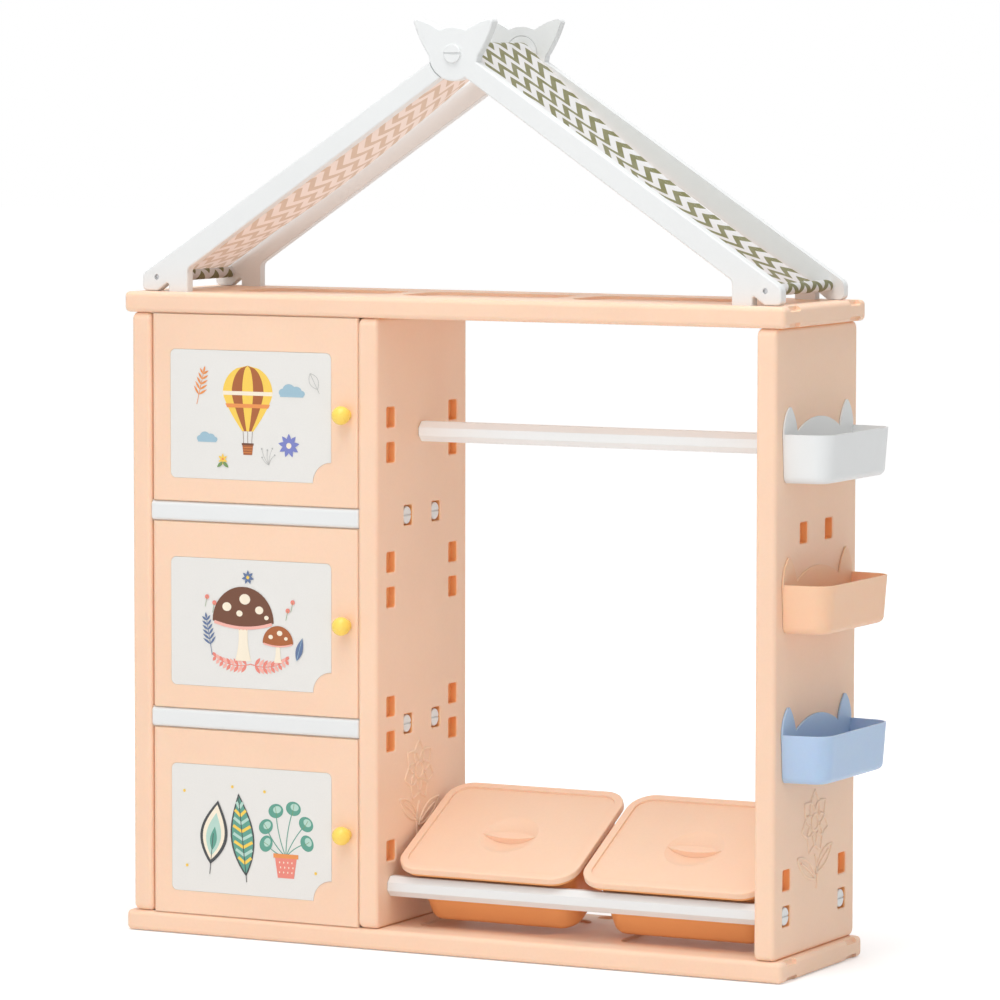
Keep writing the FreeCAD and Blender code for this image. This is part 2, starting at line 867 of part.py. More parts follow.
def lid_body():
    skirt_depth = lid_skirt
    shape = slab(lid_plan(0.0, -skirt_depth), Vec(0, 0, skirt_depth))
    shape = shape.makeFillet(lid_wall - 0.5, edges_at(shape, Vec(0, 0, 1), 0.0))
    field = slab(lid_plan(lid_rim, -lid_field_drop), Vec(0, 0, lid_skirt))
    under = slab(lid_plan(lid_wall, -skirt_depth), Vec(0, 0, skirt_depth - lid_field_drop - lid_wall))
    shape = shape.cut(field).cut(under)
    middle = lid_length - grip_from_rear
    grip_curve = (grip_radius ** 2 + grip_depth ** 2) / (2 * grip_depth)
    centre = Vec(0, middle, -lid_field_drop - grip_depth + grip_curve)
    below = box(-lid_width, lid_width, 0, lid_length, -lid_field_drop - 2 * grip_depth, -lid_field_drop)
    dish_outer = Part.makeSphere(grip_curve + lid_wall, centre).common(below)
    dish_inner = Part.makeSphere(grip_curve, centre).common(below)
    ridge_start = (-grip_radius, middle)
    ridge_steps = [
        ((0.0, middle + grip_ridge_half), (grip_radius, middle)),
        ((0.0, middle - grip_ridge_half), ridge_start),
    ]
    ridge_wire = outline(ridge_start, ridge_steps, on_xy(-lid_field_drop - grip_depth))
    ridge = slab(ridge_wire, Vec(0, 0, grip_depth))
    return join([shape, dish_outer]).cut(dish_inner.cut(ridge))


tilt = math.radians(bin_tilt)
slope_way = Vec(0, math.cos(tilt), math.sin(tilt))
lift_way = Vec(0, -math.sin(tilt), math.cos(tilt))


def bin_seat():
    # The lid's front edge, placed so that the floor lies on the rear rail
    # and the front wall leans on the front rail.
    rear_rail = [Vec(0, y, z) for y, z in rail_corners(column_offset, low_rail_z)]
    front_rail = [Vec(0, y, z) for y, z in rail_corners(-column_offset, low_rail_z)]
    wall_lean = math.atan2(bin_front_taper, bin_height)
    wall_way = slope_way * math.cos(wall_lean) + lift_way * math.sin(wall_lean)
    wall_place = bin_front_overhang * math.cos(wall_lean)
    lift = max(corner.dot(lift_way) for corner in rear_rail) + bin_height + seat_gap
    along = max(corner.dot(wall_way) for corner in front_rail) - wall_place + seat_gap
    up_slope = (along - lift * math.sin(wall_lean)) / math.cos(wall_lean)
    return slope_way * up_slope + lift_way * lift


def tilted(shape, x_middle):
    placed = shape.copy()
    seat = bin_seat()
    turn = FreeCAD.Rotation(Vec(1, 0, 0), bin_tilt)
    placed.Placement = FreeCAD.Placement(Vec(x_middle, seat.y, seat.z), turn)
    return placed


def bin_x(side):
    middle = bay_left + lid_left_gap + lid_width + lid_spacing / 2
    return middle + side * (lid_width + lid_spacing) / 2


# Roof

def rafter_axis():
    run = Vec(eave_offset, 0, eave_z - ridge_z)
    length = run.Length
    return run / length, length


def rafter_outline():
    # Right-hand rafter seen from the front, from inside the ridge head down to the nub and the foot.
    way, length = rafter_axis()
    up = Vec(-way.z, 0, way.x)

    def on_rafter(along, rise):
        return (way.x * along + up.x * rise, ridge_z + way.z * along + up.z * rise)

    nub_end = eave_offset + nub_reach
    nub_low = top_high + nub_floor_gap
    foot_in = foot_offset - foot_width / 2
    foot_out = foot_offset + foot_width / 2
    foot_low = top_high - foot_insert
    inner_along = (foot_in + rafter_down * up.x) / way.x
    end_along = (nub_end - rafter_up_eave * up.x) / way.x
    inner_corner = on_rafter(inner_along, -rafter_down)
    shoulder = on_rafter(end_along, rafter_up_eave)
    nub_toe = (nub_end, nub_low)
    nub_heel = (nub_end - nub_flat, nub_low)
    arch_top = (foot_out, nub_low + nub_arch)
    steps = [
        shoulder,
        nub_toe,
        nub_heel,
        arch_top,
        (foot_out, foot_low),
        (foot_in, foot_low),
        inner_corner,
        on_rafter(0.0, -rafter_down),
    ]
    wire = outline(on_rafter(0.0, rafter_up_top), steps, on_xz(-roof_depth / 2))
    rounds = [
        (shoulder, nub_top_round),
        (nub_toe, nub_low_round),
        (nub_heel, nub_heel_round),
        (arch_top, nub_heel_round),
        (inner_corner, foot_inner_round),
    ]
    return wire, rounds


def head_outline():
    # Round head with two pointed ears.
    side_drop = head_radius * 0.1
    side_x = math.sqrt(head_radius ** 2 - side_drop ** 2)

    def tip(side):
        return (side * ear_spread, ridge_z + ear_rise)

    def inner_bow(side):
        return (side * (crown_half + ear_spread) / 2, ridge_z + (crown_low + ear_rise) / 2 + ear_bow)

    def outer_bow(side):
        return (side * ((side_x + ear_spread) / 2 + ear_bow), ridge_z + (ear_rise - side_drop) / 2)

    def notch(side):
        return (side * crown_half, ridge_z + crown_low)

    def neck(side):
        return (side * side_x, ridge_z - side_drop)

    steps = [
        ((0.0, ridge_z + crown_high), notch(-1)),
        (inner_bow(-1), tip(-1)),
        (outer_bow(-1), neck(-1)),
        ((0.0, ridge_z - head_radius), neck(1)),
        (outer_bow(1), tip(1)),
        (inner_bow(1), notch(1)),
    ]
    return outline(notch(1), steps, on_xz(-roof_depth / 2))


def ridge_head():
    shape = slab(head_outline(), Vec(0, rafter_thick, 0))
    uprights = edges_along(shape, Vec(0, 1, 0))
    tips = [edge for edge in uprights if abs(edge.Vertexes[0].Z - ridge_z - ear_rise) < 1e-4]
    shape = shape.makeFillet(ear_round, tips)
    notches = [edge for edge in edges_along(shape, Vec(0, 1, 0))
               if abs(edge.Vertexes[0].Z - ridge_z - crown_low) < 1e-4]
    return shape.makeFillet(notch_round, notches)


def eave_bore_tools(side):
    front = -roof_depth / 2
    start = Vec(side * eave_offset, front - 1, eave_z)
    bore = rod(eave_screw_radius + bore_gap, start, Vec(0, 1, 0), rafter_thick + 2)
    sink_depth = 1 + eave_screw_sink + eave_screw_head_thick
    sink = rod(eave_screw_head_radius + bore_gap, start, Vec(0, 1, 0), sink_depth)
    return [bore, sink]


def ridge_bore():
    start = Vec(0, -roof_depth / 2 - 1, ridge_z)
    return rod(bolt_shank_radius + bore_gap, start, Vec(0, 1, 0), rafter_thick + 2)


def tongue(grow):
    # Half-thickness end of the left rafter that laps behind the head.
    way, length = rafter_axis()
    low = -rafter_down - grow
    high = rafter_up_top + grow

    def on_left(along, rise):
        return (way.z * rise - way.x * along, ridge_z + way.z * along + way.x * rise)

    reach = 2.2 * head_radius
    y0 = -roof_depth / 2 + rafter_thick / 2 - grow
    corners = [on_left(0.0, low), on_left(reach, low), on_left(reach, high), on_left(0.0, high)]
    band = slab(outline(corners[0], corners[1:], on_xz(y0)), Vec(0, rafter_thick / 2 + grow, 0))
    disc = rod(tongue_radius + grow, Vec(0, y0, ridge_z), Vec(0, 1, 0), rafter_thick / 2 + grow)
    return band.fuse(disc)


def soft_front(shape):
    return shape.makeFillet(rafter_edge_round, edges_at(shape, Vec(0, 1, 0), -roof_depth / 2))


def rafter_blank():
    wire, rounds = rafter_outline()
    shape = slab(wire, Vec(0, rafter_thick, 0))
    for (x, z), radius in rounds:
        corner = [edge for edge in edges_along(shape, Vec(0, 1, 0))
                  if math.hypot(edge.Vertexes[0].X - x, edge.Vertexes[0].Z - z) < 1e-4]
        shape = shape.makeFillet(radius, corner)
    return soft_front(shape)


def right_rafter():
    blank = join([rafter_blank(), soft_front(ridge_head())])
    return cut_all(blank, [tongue(lap_gap), ridge_bore()] + eave_bore_tools(1))


def left_rafter():
    front = -roof_depth / 2
    beam = rafter_blank().mirror(Vec(0, 0, 0), Vec(1, 0, 0))
    clear_head = rod(head_radius + lap_gap, Vec(0, front - 1, ridge_z), Vec(0, 1, 0), rafter_thick + 2)
    clear_ear = box(-ear_spread - lap_gap, head_radius, front - 1, front + rafter_thick + 1,
                    ridge_z - head_radius * 0.1, ridge_z + ear_rise)
    beam = cut_all(beam, [clear_head, clear_ear])
    lap = join([beam, tongue(0.0)])
    return cut_all(lap, [ridge_bore()] + eave_bore_tools(-1))


def cross_rod(x, z, radius, bore_radius):
    shape = rod(radius, Vec(x, -rafter_inner, z), Vec(0, 1, 0), 2 * rafter_inner)
    tools = [
        rod(bore_radius + bore_gap, Vec(x, -rafter_inner, z), Vec(0, 1, 0), rod_bore_depth),
        rod(bore_radius + bore_gap, Vec(x, rafter_inner, z), Vec(0, -1, 0), rod_bore_depth),
    ]
    return cut_all(shape, tools)


def ridge_bolt():
    face_y = -roof_depth / 2
    face = Vec(0, face_y, ridge_z)
    head = rod(bolt_head_radius, face, Vec(0, -1, 0), bolt_head_thick)
    crown = edges_at(head, Vec(0, 1, 0), face_y - bolt_head_thick)
    head = head.makeFillet(bolt_head_round, crown)
    shank = rod(bolt_shank_radius, face, Vec(0, 1, 0), rafter_thick + rod_bore_depth - 1)
    reach = bolt_head_radius + 1
    half_slot = screw_slot_width / 2
    slot_y = face_y - bolt_head_thick
    slot = box(-reach, reach, slot_y - 1, slot_y + screw_slot_depth, ridge_z - half_slot, ridge_z + half_slot)
    return join([head, shank]).cut(slot)


def ridge_bolts():
    front = ridge_bolt()
    return Part.makeCompound([front, mirrored_y(front)])


def eave_screws():
    screws = []
    for x in (-eave_offset, eave_offset):
        seat = Vec(x, -roof_depth / 2 + eave_screw_sink + eave_screw_head_thick, eave_z)
        head = rod(eave_screw_head_radius, seat, Vec(0, -1, 0), eave_screw_head_thick)
        length = rafter_thick - eave_screw_sink - eave_screw_head_thick + eave_screw_reach
        screw = join([head, rod(eave_screw_radius, seat, Vec(0, 1, 0), length)])
        screws += [screw, mirrored_y(screw)]
    return Part.makeCompound(screws)


def slope_places(side, belly, edge_lift):
    # Places along one slope, on the sheet's lower and upper face, at the eave, half-way and the ridge.
    # The sheet rests on the ridge rod and hangs in an arc. The left one runs onto the top of its eave
    # sleeve. The slack right one runs in under its sleeve. Both lap into the sleeve's wall.
    sleeve_lap = cloth_thick / 2
    eave_in = eave_rod_radius + cloth_gap
    ridge = Vec(0, 0, ridge_z)
    eave = Vec(side * eave_offset, 0, eave_z)
    run = eave - ridge
    length = run.Length
    way = run / length
    out = Vec(-side * way.z, 0, side * way.x)
    curve = length ** 2 / (8 * belly) + belly / 2
    to_ridge = curve + ridge_rod_radius + cloth_gap
    to_eave = curve + eave_in + sleeve_lap if side < 0 else curve - eave_in - cloth_thick - sleeve_lap
    along = (to_ridge ** 2 - to_eave ** 2 + length ** 2) / (2 * length)
    middle = ridge + way * along + out * math.sqrt(to_ridge ** 2 - along ** 2)
    ridge_way = (ridge - middle) / to_ridge
    eave_way = (eave - middle) / to_eave
    low_eave = middle + eave_way * curve
    low_half = middle + out * (edge_lift - curve)
    low_ridge = middle + ridge_way * curve
    lower = (low_eave, low_half, low_ridge)
    upper = (low_eave - eave_way * cloth_thick, low_half + out * cloth_thick, low_ridge - ridge_way * cloth_thick)
    return lower, upper


def cloth_section(y, turn):
    # Cut through the sheet across both slopes. Turn runs from 0 inside to 1 at the side edges.
    left_lower, left_upper = slope_places(-1, left_belly, (left_belly - left_edge_sag) * turn ** 2)
    right_lower, right_upper = slope_places(1, right_belly, (right_belly - right_edge_sag) * turn ** 2)
    crest_low = Vec(0, 0, ridge_z + ridge_rod_radius + cloth_gap)
    crest_high = crest_low + Vec(0, 0, cloth_thick)
    shift = Vec(0, y, 0)

    def arc(first, second, third):
        return Part.Arc(first + shift, second + shift, third + shift).toShape()

    def line(first, second):
        return Part.LineSegment(first + shift, second + shift).toShape()

    return Part.Wire([
        arc(*left_lower),
        arc(left_lower[2], crest_low, right_lower[2]),
        arc(*right_lower[::-1]),
        line(right_lower[0], right_upper[0]),
        arc(*right_upper),
        arc(right_upper[2], crest_high, left_upper[2]),
        arc(*left_upper[::-1]),
        line(left_upper[0], left_lower[0]),
    ])


def roof_cloth():
    # One sheet laid over the ridge rod, with a sleeve round each eave rod and turned-up side edges.
    half = rafter_inner - cloth_edge_gap
    turns = (1.0, 0.5, 0.0)
    front = [cloth_section(-half + edge_turn_up * (1 - turn), turn) for turn in turns]
    rear = [cloth_section(half - edge_turn_up * (1 - turn), turn) for turn in turns]
    sheet = Part.makeLoft(front + [cloth_section(0.0, 0.0)] + rear[::-1], True, False)
    eave_in = eave_rod_radius + cloth_gap
    starts = [Vec(side * eave_offset, -half, eave_z) for side in (-1, 1)]
    sleeves = [rod(eave_in + cloth_thick, start, Vec(0, 1, 0), 2 * half) for start in starts]
    bores = [rod(eave_in, start, Vec(0, 1, 0), 2 * half) for start in starts]
    return cut_all(join([sheet] + sleeves), bores)


# All pieces by name

def all_pieces():
    pieces = {
        "base_board": base_board(),
        "top_board": top_board(),
        "left_side_panel": left_side_panel(),
        "centre_panel": centre_panel(),
        "right_side_panel": right_side_panel(),
        "lower_shelf": shelf(0),
        "upper_shelf": shelf(1),
        "cabinet_back": cabinet_back(),
        "clothes_rail": rail(0.0, clothes_rail_z),
        "front_bin_rail": rail(-column_offset, low_rail_z),
        "rear_bin_rail": rail(column_offset, low_rail_z),
        "shelf_screws": shelf_screws(),
        "rail_screws": rail_screws(),
    }
    for index, level in enumerate(("lower", "middle", "upper")):
        pieces[level + "_door"] = door(index)
        pieces[level + "_door_picture"] = door_card(index)
        pieces[level + "_door_knob"] = knob(index)
        pieces[level + "_door_knob_screw"] = knob_screw(index)
        pieces[level + "_door_hinge_pins"] = hinge_pins(index)
        pieces[level + "_basket"] = basket(basket_pairs[index])
    bin_shape = bin_body()
    lid_shape = lid_body()
    for side, name in ((-1, "left"), (1, "right")):
        pieces[name + "_bin"] = tilted(bin_shape, bin_x(side))
        pieces[name + "_bin_lid"] = tilted(lid_shape, bin_x(side))
    left = left_rafter()
    right = right_rafter()
    pieces["front_left_rafter"] = left
    pieces["front_right_rafter"] = right
    pieces["rear_left_rafter"] = mirrored_y(left)
    pieces["rear_right_rafter"] = mirrored_y(right)
    pieces["ridge_rod"] = cross_rod(0.0, ridge_z, ridge_rod_radius, bolt_shank_radius)
    pieces["left_eave_rod"] = cross_rod(-eave_offset, eave_z, eave_rod_radius, eave_screw_radius)
    pieces["right_eave_rod"] = cross_rod(eave_offset, eave_z, eave_rod_radius, eave_screw_radius)
    pieces["ridge_bolts"] = ridge_bolts()
    pieces["eave_screws"] = eave_screws()
    pieces["roof_cloth"] = roof_cloth()
    return pieces


os.makedirs("parts", exist_ok=True)
for name, shape in all_pieces().items():
    shape.exportStep("parts/" + name + ".step")
    bounds = shape.BoundBox
    low = (round(bounds.XMin, 1), round(bounds.YMin, 1), round(bounds.ZMin, 1))
    high = (round(bounds.XMax, 1), round(bounds.YMax, 1), round(bounds.ZMax, 1))
    print(name, len(shape.Solids), "solids", shape.isValid(), round(shape.Volume / 1000, 1), "cm3", low, high)
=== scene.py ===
# Looks of the kids wardrobe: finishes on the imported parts, the roof cloth, the lips in the door
# gaps, the door prints, the moulded line relief, studio light, floor and camera.
import json
import math

import bpy
from mathutils import Matrix, Vector


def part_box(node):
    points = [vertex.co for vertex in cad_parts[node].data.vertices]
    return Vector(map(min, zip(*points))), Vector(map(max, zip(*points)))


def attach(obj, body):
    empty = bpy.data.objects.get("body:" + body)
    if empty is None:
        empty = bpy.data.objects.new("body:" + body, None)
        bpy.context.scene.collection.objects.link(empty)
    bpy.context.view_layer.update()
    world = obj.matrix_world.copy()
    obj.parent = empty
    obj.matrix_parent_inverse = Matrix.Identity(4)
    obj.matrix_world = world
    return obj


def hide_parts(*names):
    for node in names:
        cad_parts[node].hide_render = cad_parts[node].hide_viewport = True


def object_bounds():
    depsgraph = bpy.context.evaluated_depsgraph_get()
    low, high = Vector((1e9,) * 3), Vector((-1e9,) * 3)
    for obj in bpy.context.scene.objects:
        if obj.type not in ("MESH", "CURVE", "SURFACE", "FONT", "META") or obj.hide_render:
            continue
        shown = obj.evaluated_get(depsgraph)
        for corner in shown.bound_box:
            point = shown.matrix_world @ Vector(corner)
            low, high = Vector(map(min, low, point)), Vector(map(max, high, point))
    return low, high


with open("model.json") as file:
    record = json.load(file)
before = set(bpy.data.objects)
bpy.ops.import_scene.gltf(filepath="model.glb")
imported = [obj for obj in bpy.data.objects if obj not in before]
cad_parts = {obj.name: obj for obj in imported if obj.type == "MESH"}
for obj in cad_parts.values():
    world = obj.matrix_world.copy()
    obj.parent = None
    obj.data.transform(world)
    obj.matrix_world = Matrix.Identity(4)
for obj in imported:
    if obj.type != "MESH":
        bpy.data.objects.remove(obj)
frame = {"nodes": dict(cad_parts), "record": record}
cad_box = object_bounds()
nodes = frame["nodes"]
MM = 0.001

# Camera, fitted to the photo's straight edges
camera_place = (3.54283, -6.87317, 1.2535)
camera_forward = (-0.45497, 0.88679, -0.08124)
camera_roll_deg = 0.08
camera_lens = 200.21
camera_sensor = 36.0
camera_far = 60.0

# Light: levels, and the places, aims and sizes of the lamps in metres
ambient_level = 0.60
key_watts = 40.0
key_place = (0.5, -4.2, 4.2)
key_aim = (0.0, 0.0, 0.6)
key_size = 2.6
fill_watts = 16.5
fill_place = (0.4, -4.0, 0.4)
fill_aim = (0.0, 0.0, 0.5)
fill_size = 1.6
top_watts = 108.0
top_place = (0.4, -1.0, 5.0)
top_aim = (0.0, 0.0, 0.5)
top_size = 3.4

# Floor: its reach, its greys and roughness, and its glow near the wardrobe and far from it
floor_half = 30.0
floor_drop = 0.0005
floor_dark = (0.88, 0.88, 0.88, 1.0)
floor_light = (0.90, 0.90, 0.90, 1.0)
floor_cloud_scale = 2.0
floor_roughness = 0.9
near_glow = 0.30
floor_glow = 0.48
glow_start = 0.7
glow_end = 3.0

# Roof cloth: lengths in metres, and steps of its mesh. Its left half hangs deeper than in the solids.
cloth_lift = 0.0009
cloth_edge_gap = 0.0012
left_belly = 0.027
left_edge_sag = 0.005
left_turn_up = 0.090
right_belly = 0.028
right_edge_sag = 0.0185
right_turn_up = 0.036
edge_pull_in = 0.004
eave_wrap_deg = 318.0
seam_fold_deg = 20.0
seam_share = 0.985
ripple_height = 0.0005
ripples_across = 170.0
ripples_along = 9.0
ripple_full_lift = 0.004
ridge_steps = 10
slope_steps = 70
sleeve_steps = 36
cloth_columns = 45

# Print, weave and seams of the cloth
zigzag_period = 0.040
zigzag_swing = 0.020
row_pitch = 0.0275
band_share = 0.47
row_shift = 0.0135
tooth_shift = 0.007
ink_blur = 0.0004
thread_scale = 260.0
thread_wobble = 0.6
thread_shade = 0.10
thread_depth = 0.0004
thread_strength = 0.25
wear_scale = 60.0
worn_ink = 0.9
underside_ink_share = 0.8
hem_width = 0.007
stitch_half_length = 0.0017
stitch_shade = 0.35
seam_blur = (0.0003, 0.0009)
stitch_blur = (0.0005, 0.0009)
seam_dip = 1.5
cloth_roughness = 0.85
cloth_sheen = 0.15
cloth_sheen_roughness = 0.5
see_through = 0.35

# Door gaps and the lips in them
door_gap = 0.0012
lip_width = 0.0009
lip_depth = 0.001
lip_setback = 0.0026
hinge_lip_setback = 0.008

# Shared by the finishes: middle span of their noise, and depth of fine relief
noise_span = (0.3, 0.7)
fine_depth = 0.0003

# Moulded plastic: scales of its clouding, specks, gloss and grain, and how light spreads inside it
cloud_span = (0.32, 0.68)
cloud_scale = 5.0
speck_scale = 260.0
speck_share = 0.25
gloss_scale = 38.0
gloss_gain = 0.05
gloss_loss = 0.06
grain_scale = 1500.0
grain_depth = 0.0004
thin_wall = 0.004
light_spread = (1.0, 0.55, 0.35)
satin = 0.2
peach_roughness = 0.46
white_roughness = 0.40
white_mottling = 0.015
peach_depth = 0.3
basket_depth = 0.5

# Steel: its scratches and how rough they make it
scratch_scale = 900.0
scratch_tints = (0.85, 1.1)
scratch_roughness = (0.28, 0.42)
scratch_strength = 0.08

# Printed card: its fibres and the uneven gloss of its film
fibre_scale = 420.0
fibre_roughness = 0.65
fibre_tints = (0.965, 1.03)
fibre_strength = 0.05
film_scale = 30.0
film_swing = 0.06
card_roughness = 0.5
ink_roughness = 0.55

# Pockets of the panels, where the plastic gets painted shade: skin over them, solid rim round them and
# blur of the painted shade's edge
pocket_skin = 0.0012
pocket_rim = 0.012
pocket_blur = 0.0008

# Ink layers of the door prints
first_ink_layer = 0.00008
ink_layer_step = 0.000012

# Moulded line relief, in metres: line radius, how far its middle lies below the face, and the
# place of the two flowers on their panels
relief_radius = 0.0019
relief_sink = 0.0002
right_relief_y = -0.001
right_relief_height = 0.094
centre_relief_y = -0.010
centre_relief_height = 0.130


def linear(red, green, blue):
    # Display values from 0 to 255 as the linear colour that a shader takes.
    def one(value):
        share = value / 255
        return share / 12.92 if share <= 0.04045 else ((share + 0.055) / 1.055) ** 2.4
    return (one(red), one(green), one(blue), 1.0)


# Materials

class Recipe:
    # One material under construction, with its main shader.
    def __init__(self, name):
        self.material = bpy.data.materials.new(name)
        self.material.use_nodes = True
        self.tree = self.material.node_tree
        self.tree.nodes.clear()
        self.shader = self.add("ShaderNodeBsdfPrincipled")
        self.output = self.add("ShaderNodeOutputMaterial")
        self.link(self.shader.outputs["BSDF"], self.output.inputs["Surface"])

    def add(self, kind, **settings):
        node = self.tree.nodes.new(kind)
        for key, value in settings.items():
            setattr(node, key, value)
        return node

    def link(self, source, target):
        self.tree.links.new(source, target)

    def set(self, name, value):
        self.shader.inputs[name].default_value = value

    def place(self):
        return self.add("ShaderNodeTexCoord").outputs["Object"]

    def noise(self, scale, detail=2.0, rough=0.5, source=None):
        node = self.add("ShaderNodeTexNoise")
        node.inputs["Scale"].default_value = scale
        node.inputs["Detail"].default_value = detail
        node.inputs["Roughness"].default_value = rough
        self.link(source or self.place(), node.inputs["Vector"])
        return node.outputs["Fac"]

    def calc(self, operation, first, second=None):
        node = self.add("ShaderNodeMath", operation=operation)
        for slot, value in enumerate((first, second)):
            if value is None:
                continue
            if isinstance(value, (int, float)):
                node.inputs[slot].default_value = value
            else:
                self.link(value, node.inputs[slot])
        return node.outputs[0]

    def spread(self, source, low, high, to_low, to_high, smooth=False):
        node = self.add("ShaderNodeMapRange")
        node.interpolation_type = "SMOOTHSTEP" if smooth else "LINEAR"
        limits = {"From Min": low, "From Max": high, "To Min": to_low, "To Max": to_high}
        for name, value in limits.items():
            node.inputs[name].default_value = value
        self.link(source, node.inputs["Value"])
        return node.outputs["Result"]

    def blend(self, share, first, second):
        node = self.add("ShaderNodeMix", data_type="RGBA")
        self.link(share, node.inputs["Factor"])
        for name, value in (("A", first), ("B", second)):
            socket = [s for s in node.inputs if s.name == name and s.type == "RGBA"][0]
            if isinstance(value, tuple):
                socket.default_value = value
            else:
                self.link(value, socket)
        return [s for s in node.outputs if s.type == "RGBA"][0]

    def bump(self, height, strength, distance, edge_radius=0.0):
        node = self.add("ShaderNodeBump")
        node.inputs["Strength"].default_value = strength
        node.inputs["Distance"].default_value = distance
        self.link(height, node.inputs["Height"])
        if edge_radius:
            bevel = self.add("ShaderNodeBevel", samples=4)
            bevel.inputs["Radius"].default_value = edge_radius
            self.link(bevel.outputs["Normal"], node.inputs["Normal"])
        self.link(node.outputs["Normal"], self.shader.inputs["Normal"])


def tinted(colour, factor):
    return tuple(min(1.0, channel * factor) for channel in colour[:3]) + (1.0,)


def pocket_shade_share(recipe, low, high):
    # 1 in the pockets of a panel, where the shade is painted: below its two large faces and away from
    # its four narrow sides.
    split = recipe.add("ShaderNodeSeparateXYZ")
    recipe.link(recipe.place(), split.inputs[0])
    share = None
    for axis, margin in enumerate((pocket_skin, pocket_rim, pocket_rim)):
        middle = (low[axis] + high[axis]) / 2
        reach = (high[axis] - low[axis]) / 2 - margin
        off = recipe.calc("ABSOLUTE", recipe.calc("SUBTRACT", split.outputs[axis], middle))
        one = recipe.spread(off, reach - pocket_blur, reach, 1.0, 0.0, True)
        share = one if share is None else recipe.calc("MULTIPLY", share, one)
    return share


def plastic(name, colour, roughness, mottling=0.03, grain=0.06, edge_radius=0.0012, shaded_pockets=None,
            depth_glow=0.0, shine=0.5):
    # Moulded plastic: faint clouding in the colour, uneven gloss, a fine grain and softened edges.
    # Given pocket bounds, it also paints shade into the pockets as a deeper orange.
    recipe = Recipe(name)
    clouds = recipe.calc("MULTIPLY", recipe.noise(cloud_scale, 3.0), 1 - speck_share)
    specks = recipe.calc("MULTIPLY", recipe.noise(speck_scale, 2.0), speck_share)
    mixed = recipe.calc("ADD", clouds, specks)
    share = recipe.spread(mixed, *cloud_span, 0.0, 1.0)
    shade = recipe.blend(share, tinted(colour, 1 - mottling), tinted(colour, 1 + mottling))
    if shaded_pockets:
        # Painted shade: the pockets take a deeper orange that stands in for the shade deep inside them.
        shade = recipe.blend(pocket_shade_share(recipe, *shaded_pockets), shade, pocket_painted_shade)
    recipe.link(shade, recipe.shader.inputs["Base Color"])
    gloss = recipe.spread(recipe.noise(gloss_scale, 3.0), *noise_span,
                          roughness - gloss_gain, roughness + gloss_loss)
    recipe.link(gloss, recipe.shader.inputs["Roughness"])
    recipe.set("Specular IOR Level", shine)
    recipe.bump(recipe.noise(grain_scale, 2.0), grain, grain_depth, edge_radius)
    if depth_glow:
        recipe.set("Subsurface Weight", depth_glow)
        recipe.set("Subsurface Radius", light_spread)
        recipe.set("Subsurface Scale", thin_wall)
    return recipe.material


def steel(name, colour):
    # Plain steel with fine scratches.
    recipe = Recipe(name)
    recipe.set("Metallic", 1.0)
    scratches = recipe.noise(scratch_scale, 4.0)
    dark, light = (tinted(colour, factor) for factor in scratch_tints)
    shade = recipe.blend(scratches, dark, light)
    recipe.link(shade, recipe.shader.inputs["Base Color"])
    gloss = recipe.spread(scratches, *noise_span, *scratch_roughness)
    recipe.link(gloss, recipe.shader.inputs["Roughness"])
    recipe.bump(scratches, scratch_strength, fine_depth)
    return recipe.material


def card_stock(name, colour, roughness):
    # Printed card under a thin clear film: fibre mottling and a slightly uneven gloss.
    recipe = Recipe(name)
    fibres = recipe.noise(fibre_scale, 4.0, fibre_roughness)
    dark, light = (tinted(colour, factor) for factor in fibre_tints)
    shade = recipe.blend(fibres, dark, light)
    recipe.link(shade, recipe.shader.inputs["Base Color"])
    gloss = recipe.spread(recipe.noise(film_scale), *noise_span,
                          roughness - film_swing, roughness + film_swing)
    recipe.link(gloss, recipe.shader.inputs["Roughness"])
    recipe.bump(fibres, fibre_strength, fine_depth)
    return recipe.material


